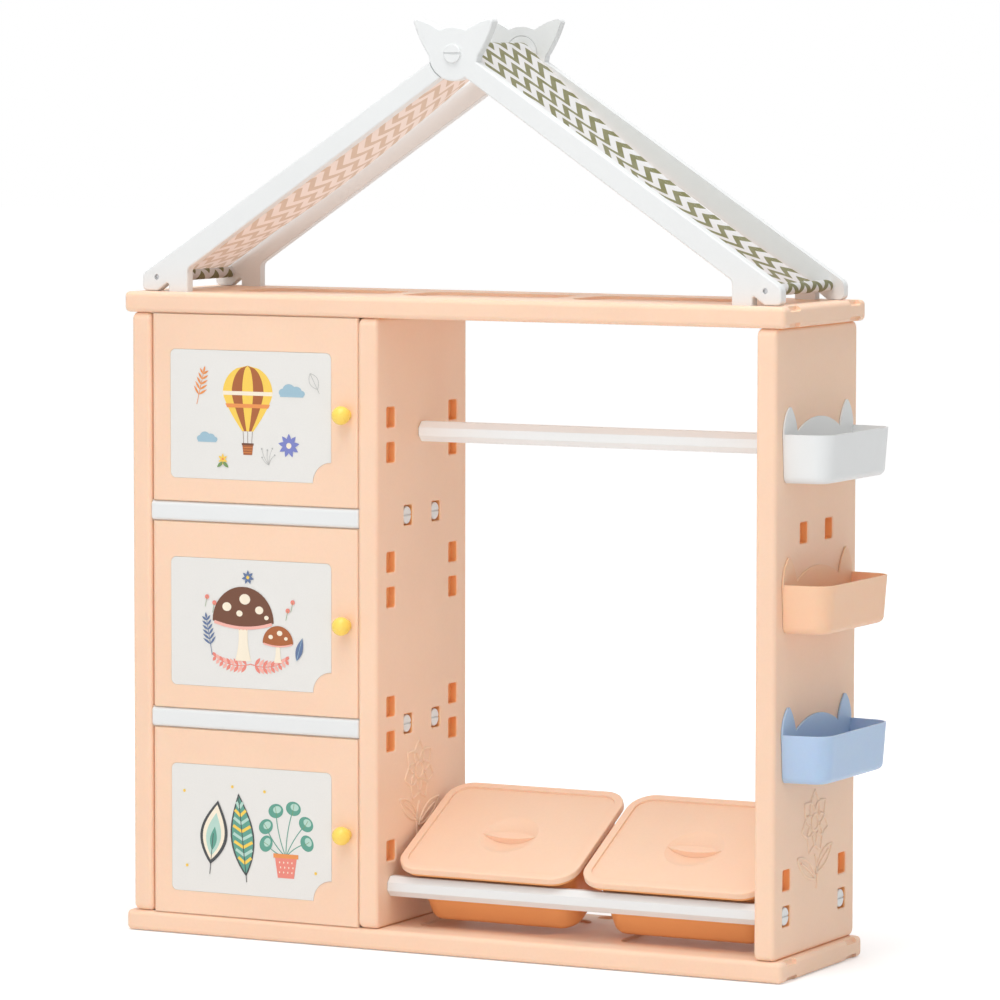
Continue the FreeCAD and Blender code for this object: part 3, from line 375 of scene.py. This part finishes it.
def chevron_cloth(name, half_width):
    # Woven cloth printed with zigzag rows. The underside shows the print faintly, on a warm tint that
    # is painted bounce light from the peach boards.
    recipe = Recipe(name)
    split = recipe.add("ShaderNodeSeparateXYZ")
    recipe.link(recipe.add("ShaderNodeUVMap", uv_map="cut").outputs["UV"], split.inputs[0])
    along, across = split.outputs["X"], split.outputs["Y"]
    from_rear = recipe.calc("SUBTRACT", half_width + tooth_shift, across)
    tooth = recipe.calc("PINGPONG", from_rear, zigzag_period / 2)
    swing = recipe.calc("MULTIPLY", tooth, 2 * zigzag_swing / zigzag_period)
    row = recipe.calc("ADD", recipe.calc("ADD", along, swing), row_shift)
    inside = recipe.calc("PINGPONG", row, row_pitch / 2)
    edge = band_share * row_pitch / 2
    print_share = recipe.spread(inside, edge - ink_blur, edge + ink_blur, 1.0, 0.0, True)
    warp = recipe.add("ShaderNodeTexWave", wave_type="BANDS", bands_direction="X")
    weft = recipe.add("ShaderNodeTexWave", wave_type="BANDS", bands_direction="Y")
    for wave in (warp, weft):
        wave.inputs["Scale"].default_value = thread_scale
        wave.inputs["Distortion"].default_value = thread_wobble
        recipe.link(recipe.add("ShaderNodeUVMap", uv_map="cut").outputs["UV"], wave.inputs["Vector"])
    weave = recipe.calc("MULTIPLY", warp.outputs["Fac"], weft.outputs["Fac"])
    fade = recipe.spread(recipe.noise(wear_scale, 3.0), *noise_span, worn_ink, 1.0)
    strength = recipe.calc("MULTIPLY", print_share, fade)
    top = recipe.blend(strength, linear(235, 238, 240), linear(130, 131, 86))
    faint = recipe.calc("MULTIPLY", strength, underside_ink_share)
    # Painted light: the underside's warm tint stands in for light bounced up from the peach boards. The
    # faint print showing through is the cloth's own.
    underside_painted_bounce = recipe.blend(faint, linear(240, 222, 212), linear(206, 176, 150))
    back = recipe.add("ShaderNodeNewGeometry").outputs["Backfacing"]
    sided = recipe.blend(back, top, underside_painted_bounce)
    shaded = recipe.calc("MULTIPLY", weave, thread_shade)
    threads = recipe.blend(shaded, sided, linear(120, 118, 110))
    to_edge = recipe.calc("SUBTRACT", half_width - hem_width, recipe.calc("ABSOLUTE", across))
    seam = recipe.spread(recipe.calc("ABSOLUTE", to_edge), *seam_blur, 1.0, 0.0, True)
    beat = recipe.calc("PINGPONG", along, stitch_half_length)
    stitch = recipe.spread(beat, *stitch_blur, 0.0, 1.0, True)
    sewn = recipe.calc("MULTIPLY", seam, stitch)
    sewn_share = recipe.calc("MULTIPLY", sewn, stitch_shade)
    finished = recipe.blend(sewn_share, threads, linear(205, 205, 200))
    recipe.link(finished, recipe.shader.inputs["Base Color"])
    recipe.set("Roughness", cloth_roughness)
    recipe.set("Sheen Weight", cloth_sheen)
    recipe.set("Sheen Roughness", cloth_sheen_roughness)
    relief = recipe.calc("SUBTRACT", weave, recipe.calc("MULTIPLY", seam, seam_dip))
    recipe.bump(relief, thread_strength, thread_depth)
    through = recipe.add("ShaderNodeBsdfTranslucent")
    recipe.link(finished, through.inputs["Color"])
    mixer = recipe.add("ShaderNodeMixShader")
    mixer.inputs["Fac"].default_value = see_through
    recipe.link(recipe.shader.outputs["BSDF"], mixer.inputs[1])
    recipe.link(through.outputs["BSDF"], mixer.inputs[2])
    recipe.link(mixer.outputs["Shader"], recipe.output.inputs["Surface"])
    return recipe.material


peach_colour = linear(252, 214, 187)
# Painted shade: a deeper orange for the panels' pockets, standing in for the warm shade inside them.
pocket_painted_shade = linear(255, 188, 130)
peach = plastic("peach_plastic", peach_colour, peach_roughness, depth_glow=peach_depth, shine=satin)
apricot = plastic("apricot_plastic", linear(255, 207, 174), roughness=0.42, depth_glow=basket_depth,
                  shine=satin)
white = plastic("white_plastic", linear(232, 234, 234), white_roughness, white_mottling)
blue = plastic("blue_plastic", linear(186, 209, 236), roughness=0.38, depth_glow=basket_depth,
               shine=satin)
yellow = plastic("yellow_plastic", linear(255, 218, 98), roughness=0.26, grain=0.03)
# Painted shade: the bins take a deeper orange copy of the peach plastic, standing in for the warm shade
# and bounced light under their lids.
orange_painted_shade = plastic("orange_plastic", linear(255, 180, 118), roughness=0.36, shine=satin)
picture = card_stock("picture_card", linear(232, 230, 226), card_roughness)
metal = steel("steel", linear(198, 198, 200))
finishes = {
    "peach_plastic": peach,
    "apricot_plastic": apricot,
    "white_plastic": white,
    "blue_plastic": blue,
    "yellow_plastic": yellow,
    "orange_plastic": orange_painted_shade,
    "picture_card": picture,
    "steel": metal,
}


def dress(node, finish):
    nodes[node].data.materials.clear()
    nodes[node].data.materials.append(finish)


for part in frame["record"]["subparts"]:
    dress(part["node"], finishes.get(part["material_slot"], white))
# Painted light: the clothes rail takes a brighter, cooler copy of the white plastic, standing in for
# light falling on it.
dress("clothes_rail", plastic("rail_painted_light_white", linear(246, 251, 252), white_roughness, white_mottling))
# The three panels get painted shade in their pockets.
for name in ("left_side_panel", "centre_panel", "right_side_panel"):
    dress(name, plastic(name + "_plastic", peach_colour, peach_roughness, shaded_pockets=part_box(name),
                        depth_glow=peach_depth, shine=satin))


# Mesh helper

def mesh_piece(name, points, faces, materials, smooth=False, face_materials=None):
    mesh = bpy.data.meshes.new(name)
    mesh.from_pydata(points, [], faces)
    for material in materials:
        mesh.materials.append(material)
    for face in mesh.polygons:
        face.use_smooth = smooth
        if face_materials:
            face.material_index = face_materials[face.index]
    mesh.update()
    piece = bpy.data.objects.new(name, mesh)
    bpy.context.scene.collection.objects.link(piece)
    return piece


# Roof cloth: one sheet from the left eave rod, over the ridge rod, to the right eave rod

def rod_circle(name):
    low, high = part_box(name)
    return Vector(((low[0] + high[0]) / 2, 0, (low[2] + high[2]) / 2)), (high[0] - low[0]) / 2


def on_circle(centre, radius, angle):
    return centre + Vector((math.cos(angle), 0, math.sin(angle))) * radius


def half_path(belly, edge_sag, slack):
    # Stations from the ridge's top to the hem on the right-hand side. Each is a point, how far
    # the side edges rise there, and the way they rise. A taut half runs over the top of its eave
    # rod. A slack one hangs below it and folds up into its sleeve at a seam.
    ridge, ridge_radius = rod_circle("ridge_rod")
    eave, eave_radius = rod_circle("right_eave_rod")
    ridge_radius += cloth_lift
    eave_radius += cloth_lift
    run = eave - ridge
    length = run.length
    way = run / length
    out = Vector((-way.z, 0, way.x))
    curve = length ** 2 / (8 * belly) + belly / 2
    to_ridge = curve + ridge_radius
    to_eave = curve - eave_radius if slack else curve + eave_radius
    along = (to_ridge ** 2 - to_eave ** 2 + length ** 2) / (2 * length)
    middle = ridge + way * along + out * math.sqrt(to_ridge ** 2 - along ** 2)
    ridge_angle = math.atan2((middle - ridge).z, (middle - ridge).x)
    stations = []
    for step in range(ridge_steps):
        angle = math.pi / 2 + (ridge_angle - math.pi / 2) * step / ridge_steps
        stations.append((on_circle(ridge, ridge_radius, angle), 0.0, out))
    start_angle = math.atan2((ridge - middle).z, (ridge - middle).x)
    end_angle = math.atan2((eave - middle).z, (eave - middle).x)
    sleeve_angle = end_angle - math.radians(seam_fold_deg) if slack else end_angle + math.pi
    slope_share = seam_share if slack else 1.0
    for step in range(slope_steps):
        share = slope_share * step / slope_steps
        angle = start_angle + (end_angle - start_angle) * share
        lift = (belly - edge_sag) * 4 * share * (1 - share)
        stations.append((on_circle(middle, curve, angle), lift, out))
    for step in range(sleeve_steps + 1):
        angle = sleeve_angle - math.radians(eave_wrap_deg) * step / sleeve_steps
        stations.append((on_circle(eave, eave_radius, angle), 0.0, out))
    return stations


def mirrored(station):
    point, lift, out = station
    return Vector((-point.x, 0, point.z)), lift, Vector((-out.x, 0, out.z))


def roof_cloth():
    low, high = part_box("ridge_rod")
    half = (high[1] - low[1]) / 2 - cloth_edge_gap
    right = half_path(right_belly, right_edge_sag, True)
    left = [mirrored(station) for station in half_path(left_belly, left_edge_sag, False)]
    stations = left[:0:-1] + right
    apex = len(left) - 1
    full_lift = right_belly - right_edge_sag
    lengths = [0.0]
    for before, after in zip(stations, stations[1:]):
        lengths.append(lengths[-1] + (after[0] - before[0]).length)
    columns = cloth_columns
    points = []
    cut = []
    for index, (base, lift, out) in enumerate(stations):
        turn_up = left_turn_up if index < apex else right_turn_up
        ripple_share = min(1.0, lift / ripple_full_lift)
        for column in range(columns):
            across = half * (2 * column / (columns - 1) - 1)
            turn = max(0.0, (abs(across) - half + turn_up) / turn_up)
            pull = edge_pull_in * turn ** 2 * lift / full_lift
            wave = math.sin(across * ripples_across + lengths[index] * ripples_along)
            ripple = ripple_height * wave * ripple_share
            place = base + out * (lift * turn ** 2 + ripple)
            place.y = across - math.copysign(pull, across)
            points.append(place)
            cut.append((lengths[index] - lengths[apex], across))
    faces = []
    for index in range(len(stations) - 1):
        for column in range(columns - 1):
            corner = index * columns + column
            faces.append((corner, corner + columns, corner + columns + 1, corner + 1))
    finish = chevron_cloth("chevron_cloth", half)
    piece = mesh_piece("roof_canopy", points, faces, [finish], smooth=True)
    layer = piece.data.uv_layers.new(name="cut")
    for loop in piece.data.loops:
        layer.data[loop.index].uv = cut[loop.vertex_index]
    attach(piece, "frame")
    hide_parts("roof_cloth")


roof_cloth()


# Thin lips round each door, on the boards, shelves and panels, that narrow the gaps from behind

def box_faces(first):
    corners = ((0, 1, 3, 2), (4, 6, 7, 5), (0, 4, 5, 1), (2, 3, 7, 6), (0, 2, 6, 4), (1, 5, 7, 3))
    return [tuple(first + corner for corner in face) for face in corners]


def door_lips():
    points = []
    faces = []
    for level in ("lower", "middle", "upper"):
        low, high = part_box(level + "_door")
        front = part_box(level + "_door_picture")[0][1]
        near = front + lip_setback
        hinge_near = front + hinge_lip_setback
        left, right = low[0] - door_gap, high[0] + door_gap
        floor_level, roof_level = low[2] - door_gap, high[2] + door_gap
        bars = (
            ((left, right), (near, near + lip_depth), (floor_level, floor_level + lip_width)),
            ((left, right), (near, near + lip_depth), (roof_level - lip_width, roof_level)),
            ((right - lip_width, right), (near, near + lip_depth), (low[2], high[2])),
            ((left, left + lip_width), (hinge_near, hinge_near + lip_depth), (low[2], high[2])),
        )
        for spans in bars:
            faces += box_faces(len(points))
            points += [(x, y, z) for x in spans[0] for y in spans[1] for z in spans[2]]
    piece = mesh_piece("door_lips", points, faces, [peach])
    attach(piece, "frame")


door_lips()


# Door prints: plain motifs in flat inks, drawn in millimetres from the card's middle

inks = {
    "sun_yellow": (248, 208, 90),
    "earth_brown": (170, 98, 54),
    "dark_brown": (112, 70, 50),
    "carrot": (236, 150, 84),
    "coral": (236, 138, 124),
    "rose": (246, 182, 170),
    "cream": (248, 236, 214),
    "violet_blue": (124, 132, 196),
    "mist_blue": (160, 192, 208),
    "slate_blue": (98, 118, 156),
    "leaf_green": (120, 152, 96),
    "sea_green": (96, 160, 142),
    "mint": (184, 216, 204),
    "ink_grey": (70, 72, 74),
    "pale_grey": (186, 186, 184),
}
ink_names = list(inks)
ink_materials = [card_stock("ink_" + name, linear(*inks[name]), ink_roughness) for name in ink_names]


def turned(x, z, degrees):
    angle = math.radians(degrees)
    return x * math.cos(angle) - z * math.sin(angle), x * math.sin(angle) + z * math.cos(angle)


def oval(x, z, half_wide, half_tall, degrees=0.0, count=32):
    around = [2 * math.pi * step / count for step in range(count)]
    ring = [turned(half_wide * math.cos(a), half_tall * math.sin(a), degrees) for a in around]
    return [(x + dx, z + dz) for dx, dz in ring]


def leaf(x, z, length, width, degrees, count=14):
    # A pointed leaf that grows from its foot at x, z. At 0 degrees it points up.
    shares = [step / count for step in range(count + 1)]
    right = [(width / 2 * math.sin(math.pi * s ** 0.9), length * s) for s in shares]
    left = [(-dx, dz) for dx, dz in right[-2:0:-1]]
    return [(x + turned(dx, dz, degrees)[0], z + turned(dx, dz, degrees)[1]) for dx, dz in right + left]


def stroke(path, width):
    # A line of even width along a path.
    left, right = [], []
    for index, (x, z) in enumerate(path):
        before = path[max(0, index - 1)]
        after = path[min(len(path) - 1, index + 1)]
        run_x, run_z = after[0] - before[0], after[1] - before[1]
        size = math.hypot(run_x, run_z)
        side_x, side_z = -run_z / size * width / 2, run_x / size * width / 2
        left.append((x + side_x, z + side_z))
        right.append((x - side_x, z - side_z))
    return left + right[::-1]


def bow(x0, z0, x1, z1, rise, count=14):
    # A curved path between two points that bulges to its left.
    size = math.hypot(x1 - x0, z1 - z0)
    side_x, side_z = -(z1 - z0) / size, (x1 - x0) / size
    path = []
    for step in range(count + 1):
        share = step / count
        lift = rise * 4 * share * (1 - share)
        path.append((x0 + (x1 - x0) * share + side_x * lift, z0 + (z1 - z0) * share + side_z * lift))
    return path


class Print:
    # Flat ink shapes on one door's card, each on a hair-thin layer of its own.
    def __init__(self, level):
        low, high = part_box(level + "_door_picture")
        self.level = level
        self.origin = ((low[0] + high[0]) / 2, low[1], (low[2] + high[2]) / 2)
        self.points = []
        self.faces = []
        self.inks = []

    def shape(self, outline, ink):
        layer = first_ink_layer + ink_layer_step * len(self.faces)
        first = len(self.points)
        for x, z in outline:
            place = (self.origin[0] + x * MM, self.origin[1] - layer, self.origin[2] + z * MM)
            self.points.append(place)
        self.faces.append(tuple(range(first, len(self.points))))
        self.inks.append(ink_names.index(ink))

    def line(self, path, width, ink):
        self.shape(stroke(path, width), ink)

    def flower(self, x, z, radius, petals, ink, heart):
        for petal in range(petals):
            self.shape(leaf(x, z, radius, radius * 0.42, 360 * petal / petals), ink)
        self.shape(oval(x, z, radius * 0.24, radius * 0.24), heart)

    def sprig(self, x, z, length, degrees, ink, pairs=6, size=13.0):
        tip_x, tip_z = turned(0, length, degrees)
        self.line([(x, z), (x + tip_x, z + tip_z)], 0.9, ink)
        for pair in range(pairs):
            share = 0.3 + 0.65 * pair / max(1, pairs - 1)
            for side in (-1, 1):
                length_here = size * (1.1 - 0.5 * share)
                foot = (x + tip_x * share, z + tip_z * share)
                self.shape(leaf(*foot, length_here, 3.0, degrees + side * 46), ink)
        self.shape(leaf(x + tip_x, z + tip_z, size * 0.6, 3.0, degrees), ink)

    def twig(self, x, z, ink):
        for degrees, length in ((-34, 17), (-14, 24), (6, 21), (27, 25), (46, 15)):
            tip_x, tip_z = turned(0, length, degrees)
            self.line(bow(x, z, x + tip_x, z + tip_z, 1.5), 0.6, ink)
            self.shape(oval(x + tip_x, z + tip_z, 1.3, 1.3, count=12), ink)

    def done(self):
        piece = mesh_piece(self.level + "_door_print", self.points, self.faces, ink_materials,
                           face_materials=self.inks)
        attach(piece, self.level + "_door")


def balloon_print():
    page = Print("upper")
    top, tall, half = 70.0, 92.0, 40.0
    middle = -4.0
    wide_at = 0.42

    def half_width(share):
        if share < wide_at:
            return half * math.sqrt(max(0.0, 1 - (1 - share / wide_at) ** 2))
        return half - (half - 9.0) * ((share - wide_at) / (1 - wide_at)) ** 1.35

    gores = (-1.0, -0.64, -0.22, 0.22, 0.64, 1.0)
    shares = [step / 24 for step in range(25)]
    for number, (near, far) in enumerate(zip(gores, gores[1:])):
        down = [(middle + near * half_width(s), top - tall * s) for s in shares]
        up = [(middle + far * half_width(s), top - tall * s) for s in shares[::-1]]
        page.shape(down + up, ("sun_yellow", "earth_brown")[number % 2])
    for share, ink in ((0.36, "cream"), (0.55, "carrot")):
        rows = [share + step * 0.015 for step in range(5)]
        right = [(middle + half_width(s), top - tall * s - 3) for s in rows]
        left = [(middle - half_width(s), top - tall * s - 3) for s in rows[::-1]]
        page.shape(right + left, ink)
    mouth = top - tall
    for x in (-7.5, 0.0, 7.5):
        page.line([(middle + x, mouth), (middle + x * 0.85, mouth - 18)], 0.7, "dark_brown")
    page.shape([(middle - 9, mouth - 17), (middle + 9, mouth - 17), (middle + 7, mouth - 33),
                (middle - 7, mouth - 33)], "earth_brown")
    page.line([(middle - 9.5, mouth - 18), (middle + 9.5, mouth - 18)], 3.0, "dark_brown")
    for row in range(3):
        z = mouth - 22.5 - 3.6 * row
        page.line([(middle - 7.5, z), (middle + 7.5, z)], 0.6, "carrot")
    for x, z, size, ink in ((66, 34, 1.0, "mist_blue"), (-70, -34, 0.8, "mist_blue")):
        for dx, dz, r in ((-13, 0, 7), (-4, 4, 10), (8, 2, 8.5), (16, -1, 5.5)):
            page.shape(oval(x + dx * size, z + dz * size, r * size, r * size * 0.8), ink)
        page.line([(x - 18 * size, z - 3.4 * size), (x + 19 * size, z - 3.4 * size)], 5.2 * size, ink)
    page.flower(62, -40, 17, 9, "violet_blue", "cream")
    page.sprig(-86, 14, 46, -14, "carrot", pairs=5, size=16)
    page.twig(30, -68, "pale_grey")
    page.flower(-44, -62, 8, 6, "sun_yellow", "carrot")
    page.shape(leaf(-44, -66, 12, 5, 130), "leaf_green")
    page.shape(leaf(-44, -66, 12, 5, -130), "leaf_green")
    page.line(bow(96, 62, 108, 40, 7), 0.7, "pale_grey")
    page.line(bow(108, 40, 96, 62, 7), 0.7, "pale_grey")
    page.line([(96, 62), (111, 34)], 0.7, "pale_grey")
    page.done()


def mushroom(page, x, z, size, cap, dots):
    stem = bow(x - 9 * size, z, x - 7 * size, z + 42 * size, -3 * size)
    stem += bow(x + 7 * size, z + 42 * size, x + 9 * size, z, -3 * size)
    page.shape(stem, "cream")
    for fold in (-4, 0, 4):
        crease = [(x + fold * size, z + 30 * size), (x + fold * size * 0.8, z + 40 * size)]
        page.line(crease, 0.8 * size, "carrot")
    turns = [math.pi * step / 24 for step in range(25)]
    arch = [(x + 34 * size * math.cos(a), z + (38 + 34 * math.sin(a)) * size) for a in turns]
    hollow = bow(x - 34 * size, z + 38 * size, x + 34 * size, z + 38 * size, -6 * size)
    page.shape(arch + hollow[1:-1], cap)
    brim = bow(x - 32 * size, z + 37 * size, x + 32 * size, z + 37 * size, -5 * size)
    page.line(brim, 3.0 * size, "rose")
    for dx, dz, r in dots:
        page.shape(oval(x + dx * size, z + dz * size, r * size, r * size * 0.85), "cream")


def mushroom_print():
    page = Print("middle")
    for side in (-1, 1):
        page.line(bow(0, -56, side * 62, -44, side * -8), 1.4, "coral")
        for step in range(9):
            share = (step + 1) / 10
            path = bow(0, -56, side * 62, -44, side * -8, 20)
            foot = path[int(share * 20)]
            for turn in (38, 142):
                page.shape(leaf(*foot, 15 - 8 * share, 5, -side * turn), ("coral", "rose")[step % 2])
    large_dots = ((-18, 52, 5), (2, 60, 6), (18, 50, 4.5), (-4, 46, 3.5), (26, 43, 2.5))
    small_dots = ((-16, 50, 5), (4, 58, 6), (18, 48, 4))
    mushroom(page, -12, -52, 1.45, "dark_brown", large_dots)
    mushroom(page, 44, -52, 0.72, "earth_brown", small_dots)
    page.sprig(-62, -46, 52, 10, "slate_blue", pairs=6, size=15)
    page.flower(-4, 66, 10, 7, "slate_blue", "sun_yellow")
    page.shape(leaf(74, -48, 34, 11, -16), "slate_blue")
    page.line([(74, -48), (83, -16)], 0.7, "mist_blue")
    for x, z in ((60, 22), (68, 34), (-70, 36), (-58, 28)):
        page.shape(oval(x, z, 3.4, 3.4, count=16), "coral")
        page.line([(x, z), (x - 3, z - 14)], 0.6, "leaf_green")
    page.done()


def plant_print():
    page = Print("lower")
    pot_x, pot_z = 56.0, -58.0
    for degrees, length in ((-58, 40), (-34, 58), (-10, 70), (14, 66), (38, 52), (62, 36)):
        tip_x, tip_z = turned(0, length, degrees)
        page.line(bow(pot_x, pot_z + 26, pot_x + tip_x, pot_z + 26 + tip_z, 3), 1.4, "sea_green")
        page.shape(oval(pot_x + tip_x, pot_z + 26 + tip_z, 12, 10, degrees), "sea_green")
        page.shape(oval(pot_x + tip_x + 2, pot_z + 28 + tip_z, 6.5, 5, degrees), "mint")
        page.line([(pot_x + tip_x * 0.86, pot_z + 26 + tip_z * 0.86),
                   (pot_x + tip_x * 1.1, pot_z + 26 + tip_z * 1.1)], 0.7, "leaf_green")
    pot = [(-18, 28), (18, 28), (13, -4), (-13, -4)]
    page.shape([(pot_x + dx, pot_z + dz) for dx, dz in pot], "coral")
    page.line([(pot_x - 20, pot_z + 27), (pot_x + 20, pot_z + 27)], 6.0, "carrot")
    for row in range(3):
        for column in range(4):
            dot_x = pot_x - 10 + 6.6 * column + 1.6 * (row % 2)
            page.shape(oval(dot_x, pot_z + 18 - 7 * row, 0.9, 1.5, count=10), "cream")
    x, z = -8.0, -64.0
    page.shape(leaf(x, z, 118, 38, 6), "ink_grey")
    page.shape(leaf(x - 0.3, z + 4, 110, 33, 6), "sea_green")
    for step in range(8):
        share = 0.16 + 0.095 * step
        foot = turned(0, 118 * share, 6)
        reach = 15 * math.sin(math.pi * (share + 0.05) ** 0.9)
        ink = ("sun_yellow", "mint")[step % 2]
        for side in (-1, 1):
            start = (x + foot[0], z + foot[1])
            page.line([start, (start[0] + side * reach, start[1] + 8)], 4.2, ink)
    page.line([(x + 1, z - 8), (x - 12, z + 112)], 1.2, "ink_grey")
    x, z = -66.0, -50.0
    page.shape(leaf(x, z, 92, 44, -8), "ink_grey")
    page.shape(leaf(x + 0.6, z + 6, 80, 35, -8), "cream")
    page.shape(leaf(x + 1.5, z + 12, 62, 24, -8), "mint")
    page.shape(leaf(x + 3, z + 20, 34, 11, -8), "sea_green")
    page.line([(x - 1, z - 14), (x + 5, z + 44)], 1.1, "ink_grey")
    for x, z in ((-108, 52), (-30, 62), (22, 58), (104, -52), (-104, -54)):
        page.shape(oval(x, z, 2.2, 2.2, count=14), "sun_yellow")
    page.done()


balloon_print()
mushroom_print()
plant_print()


# Moulded line relief: a plain flower outline on the two panels

def relief_lines():
    # Paths in millimetres from the relief's lower middle.
    heart = (0.0, 92.0)
    heart_radius = 11
    petals, petal_length, petal_width = 7, 44, 30
    paths = [oval(*heart, heart_radius, heart_radius) + [(heart[0] + heart_radius, heart[1])]]
    for petal in range(petals):
        base = leaf(*heart, petal_length, petal_width, 360 * petal / petals, 12)
        off_heart = [math.dist(point, heart) > heart_radius + 0.5 for point in base]
        paths.append([point for point, kept in zip(base, off_heart) if kept])
    paths.append(bow(0, heart[1] - petal_length, 6, 0, 5))
    for side, foot in ((-1, 14.0), (1, 22.0)):
        paths.append(bow(3, foot, side * 58, foot + 34, side * 11))
        paths.append(bow(3, foot, side * 58, foot + 34, side * -9))
        paths.append(bow(3, foot, side * 46, foot + 27, side * 2))
    return paths


def relief(name, face_x, centre_y, low_z, flip):
    # Round lines half sunk in a panel's right-hand face. A flip of -1 mirrors them.
    curve = bpy.data.curves.new(name, "CURVE")
    curve.dimensions = "3D"
    curve.bevel_depth = relief_radius
    curve.bevel_resolution = 3
    curve.use_fill_caps = True
    for path in relief_lines():
        spline = curve.splines.new("POLY")
        spline.points.add(len(path) - 1)
        for point, (y, z) in zip(spline.points, path):
            point.co = (face_x - relief_sink, centre_y + flip * y * MM, low_z + z * MM, 1.0)
    piece = bpy.data.objects.new(name, curve)
    curve.materials.append(peach)
    bpy.context.scene.collection.objects.link(piece)
    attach(piece, "frame")


right_low, right_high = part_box("right_side_panel")
centre_low, centre_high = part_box("centre_panel")
relief("right_panel_relief", right_high[0], right_relief_y, right_low[2] + right_relief_height, 1)
relief("centre_panel_relief", centre_high[0], centre_relief_y, centre_low[2] + centre_relief_height, -1)


# Floor, light and camera

def floor_material():
    # A matt pale floor. Its glow is seen directly, in a mirror or through glass, but lights nothing.
    # It is weaker near the wardrobe, so that the shadow shows.
    recipe = Recipe("floor")
    shade = recipe.blend(recipe.noise(floor_cloud_scale), floor_dark, floor_light)
    recipe.link(shade, recipe.shader.inputs["Base Color"])
    recipe.set("Roughness", floor_roughness)
    recipe.set("Specular IOR Level", 0.0)
    recipe.set("Emission Color", (1.0, 1.0, 1.0, 1.0))
    rays = recipe.add("ShaderNodeLightPath").outputs
    mirrored_rays = recipe.calc("MAXIMUM", rays["Is Glossy Ray"], rays["Is Transmission Ray"])
    shown = recipe.calc("MAXIMUM", rays["Is Camera Ray"], mirrored_rays)
    reach = recipe.add("ShaderNodeVectorMath", operation="LENGTH")
    recipe.link(recipe.place(), reach.inputs[0])
    glow = recipe.spread(reach.outputs["Value"], glow_start, glow_end, near_glow, floor_glow, True)
    recipe.link(recipe.calc("MULTIPLY", shown, glow), recipe.shader.inputs["Emission Strength"])
    return recipe.material


floor_z = cad_box[0][2] - floor_drop
corners = [(x * floor_half, y * floor_half, floor_z) for x, y in ((-1, -1), (1, -1), (1, 1), (-1, 1))]
floor = mesh_piece("floor", corners, [(0, 1, 2, 3)], [floor_material()])


def soft_lamp(name, place, aim, size, watts):
    lamp = bpy.data.lights.new(name, "AREA")
    lamp.shape = "DISK"
    lamp.size = size
    lamp.energy = watts
    holder = bpy.data.objects.new(name, lamp)
    holder.location = place
    holder.rotation_euler = (Vector(aim) - Vector(place)).to_track_quat("-Z", "Y").to_euler()
    bpy.context.scene.collection.objects.link(holder)


soft_lamp("key_lamp", key_place, key_aim, key_size, key_watts)
soft_lamp("fill_lamp", fill_place, fill_aim, fill_size, fill_watts)
soft_lamp("top_lamp", top_place, top_aim, top_size, top_watts)

# White surroundings: full white where they are seen, weaker as light on the wardrobe
world = bpy.data.worlds.new("studio")
bpy.context.scene.world = world
world.use_nodes = True
sky = world.node_tree
sky.nodes.clear()
backdrop = sky.nodes.new("ShaderNodeBackground")
backdrop.inputs["Color"].default_value = (1.0, 1.0, 1.0, 1.0)
rays = sky.nodes.new("ShaderNodeLightPath")
seen = None
for kind in ("Is Camera Ray", "Is Glossy Ray", "Is Transmission Ray"):
    if seen is None:
        seen = rays.outputs[kind]
        continue
    total = sky.nodes.new("ShaderNodeMath")
    total.operation = "MAXIMUM"
    sky.links.new(seen, total.inputs[0])
    sky.links.new(rays.outputs[kind], total.inputs[1])
    seen = total.outputs[0]
level = sky.nodes.new("ShaderNodeMapRange")
level.inputs["To Min"].default_value = ambient_level
level.inputs["To Max"].default_value = 1.0
sky.links.new(seen, level.inputs["Value"])
sky.links.new(level.outputs["Result"], backdrop.inputs["Strength"])
world_output = sky.nodes.new("ShaderNodeOutputWorld")
sky.links.new(backdrop.outputs["Background"], world_output.inputs["Surface"])

lens = bpy.data.cameras.new("camera")
lens.lens = camera_lens
lens.sensor_width = camera_sensor
lens.clip_end = camera_far
camera = bpy.data.objects.new("camera", lens)
bpy.context.scene.collection.objects.link(camera)
forward = Vector(camera_forward).normalized()
rightward = forward.cross(Vector((0, 0, 1))).normalized()
upward = rightward.cross(forward)
axes = Matrix((rightward, upward, -forward)).transposed()
roll = Matrix.Rotation(math.radians(camera_roll_deg), 3, "Z")
camera.matrix_world = Matrix.Translation(camera_place) @ (axes @ roll).to_4x4()
bpy.context.scene.camera = camera
bpy.context.scene.view_settings.view_transform = "Standard"
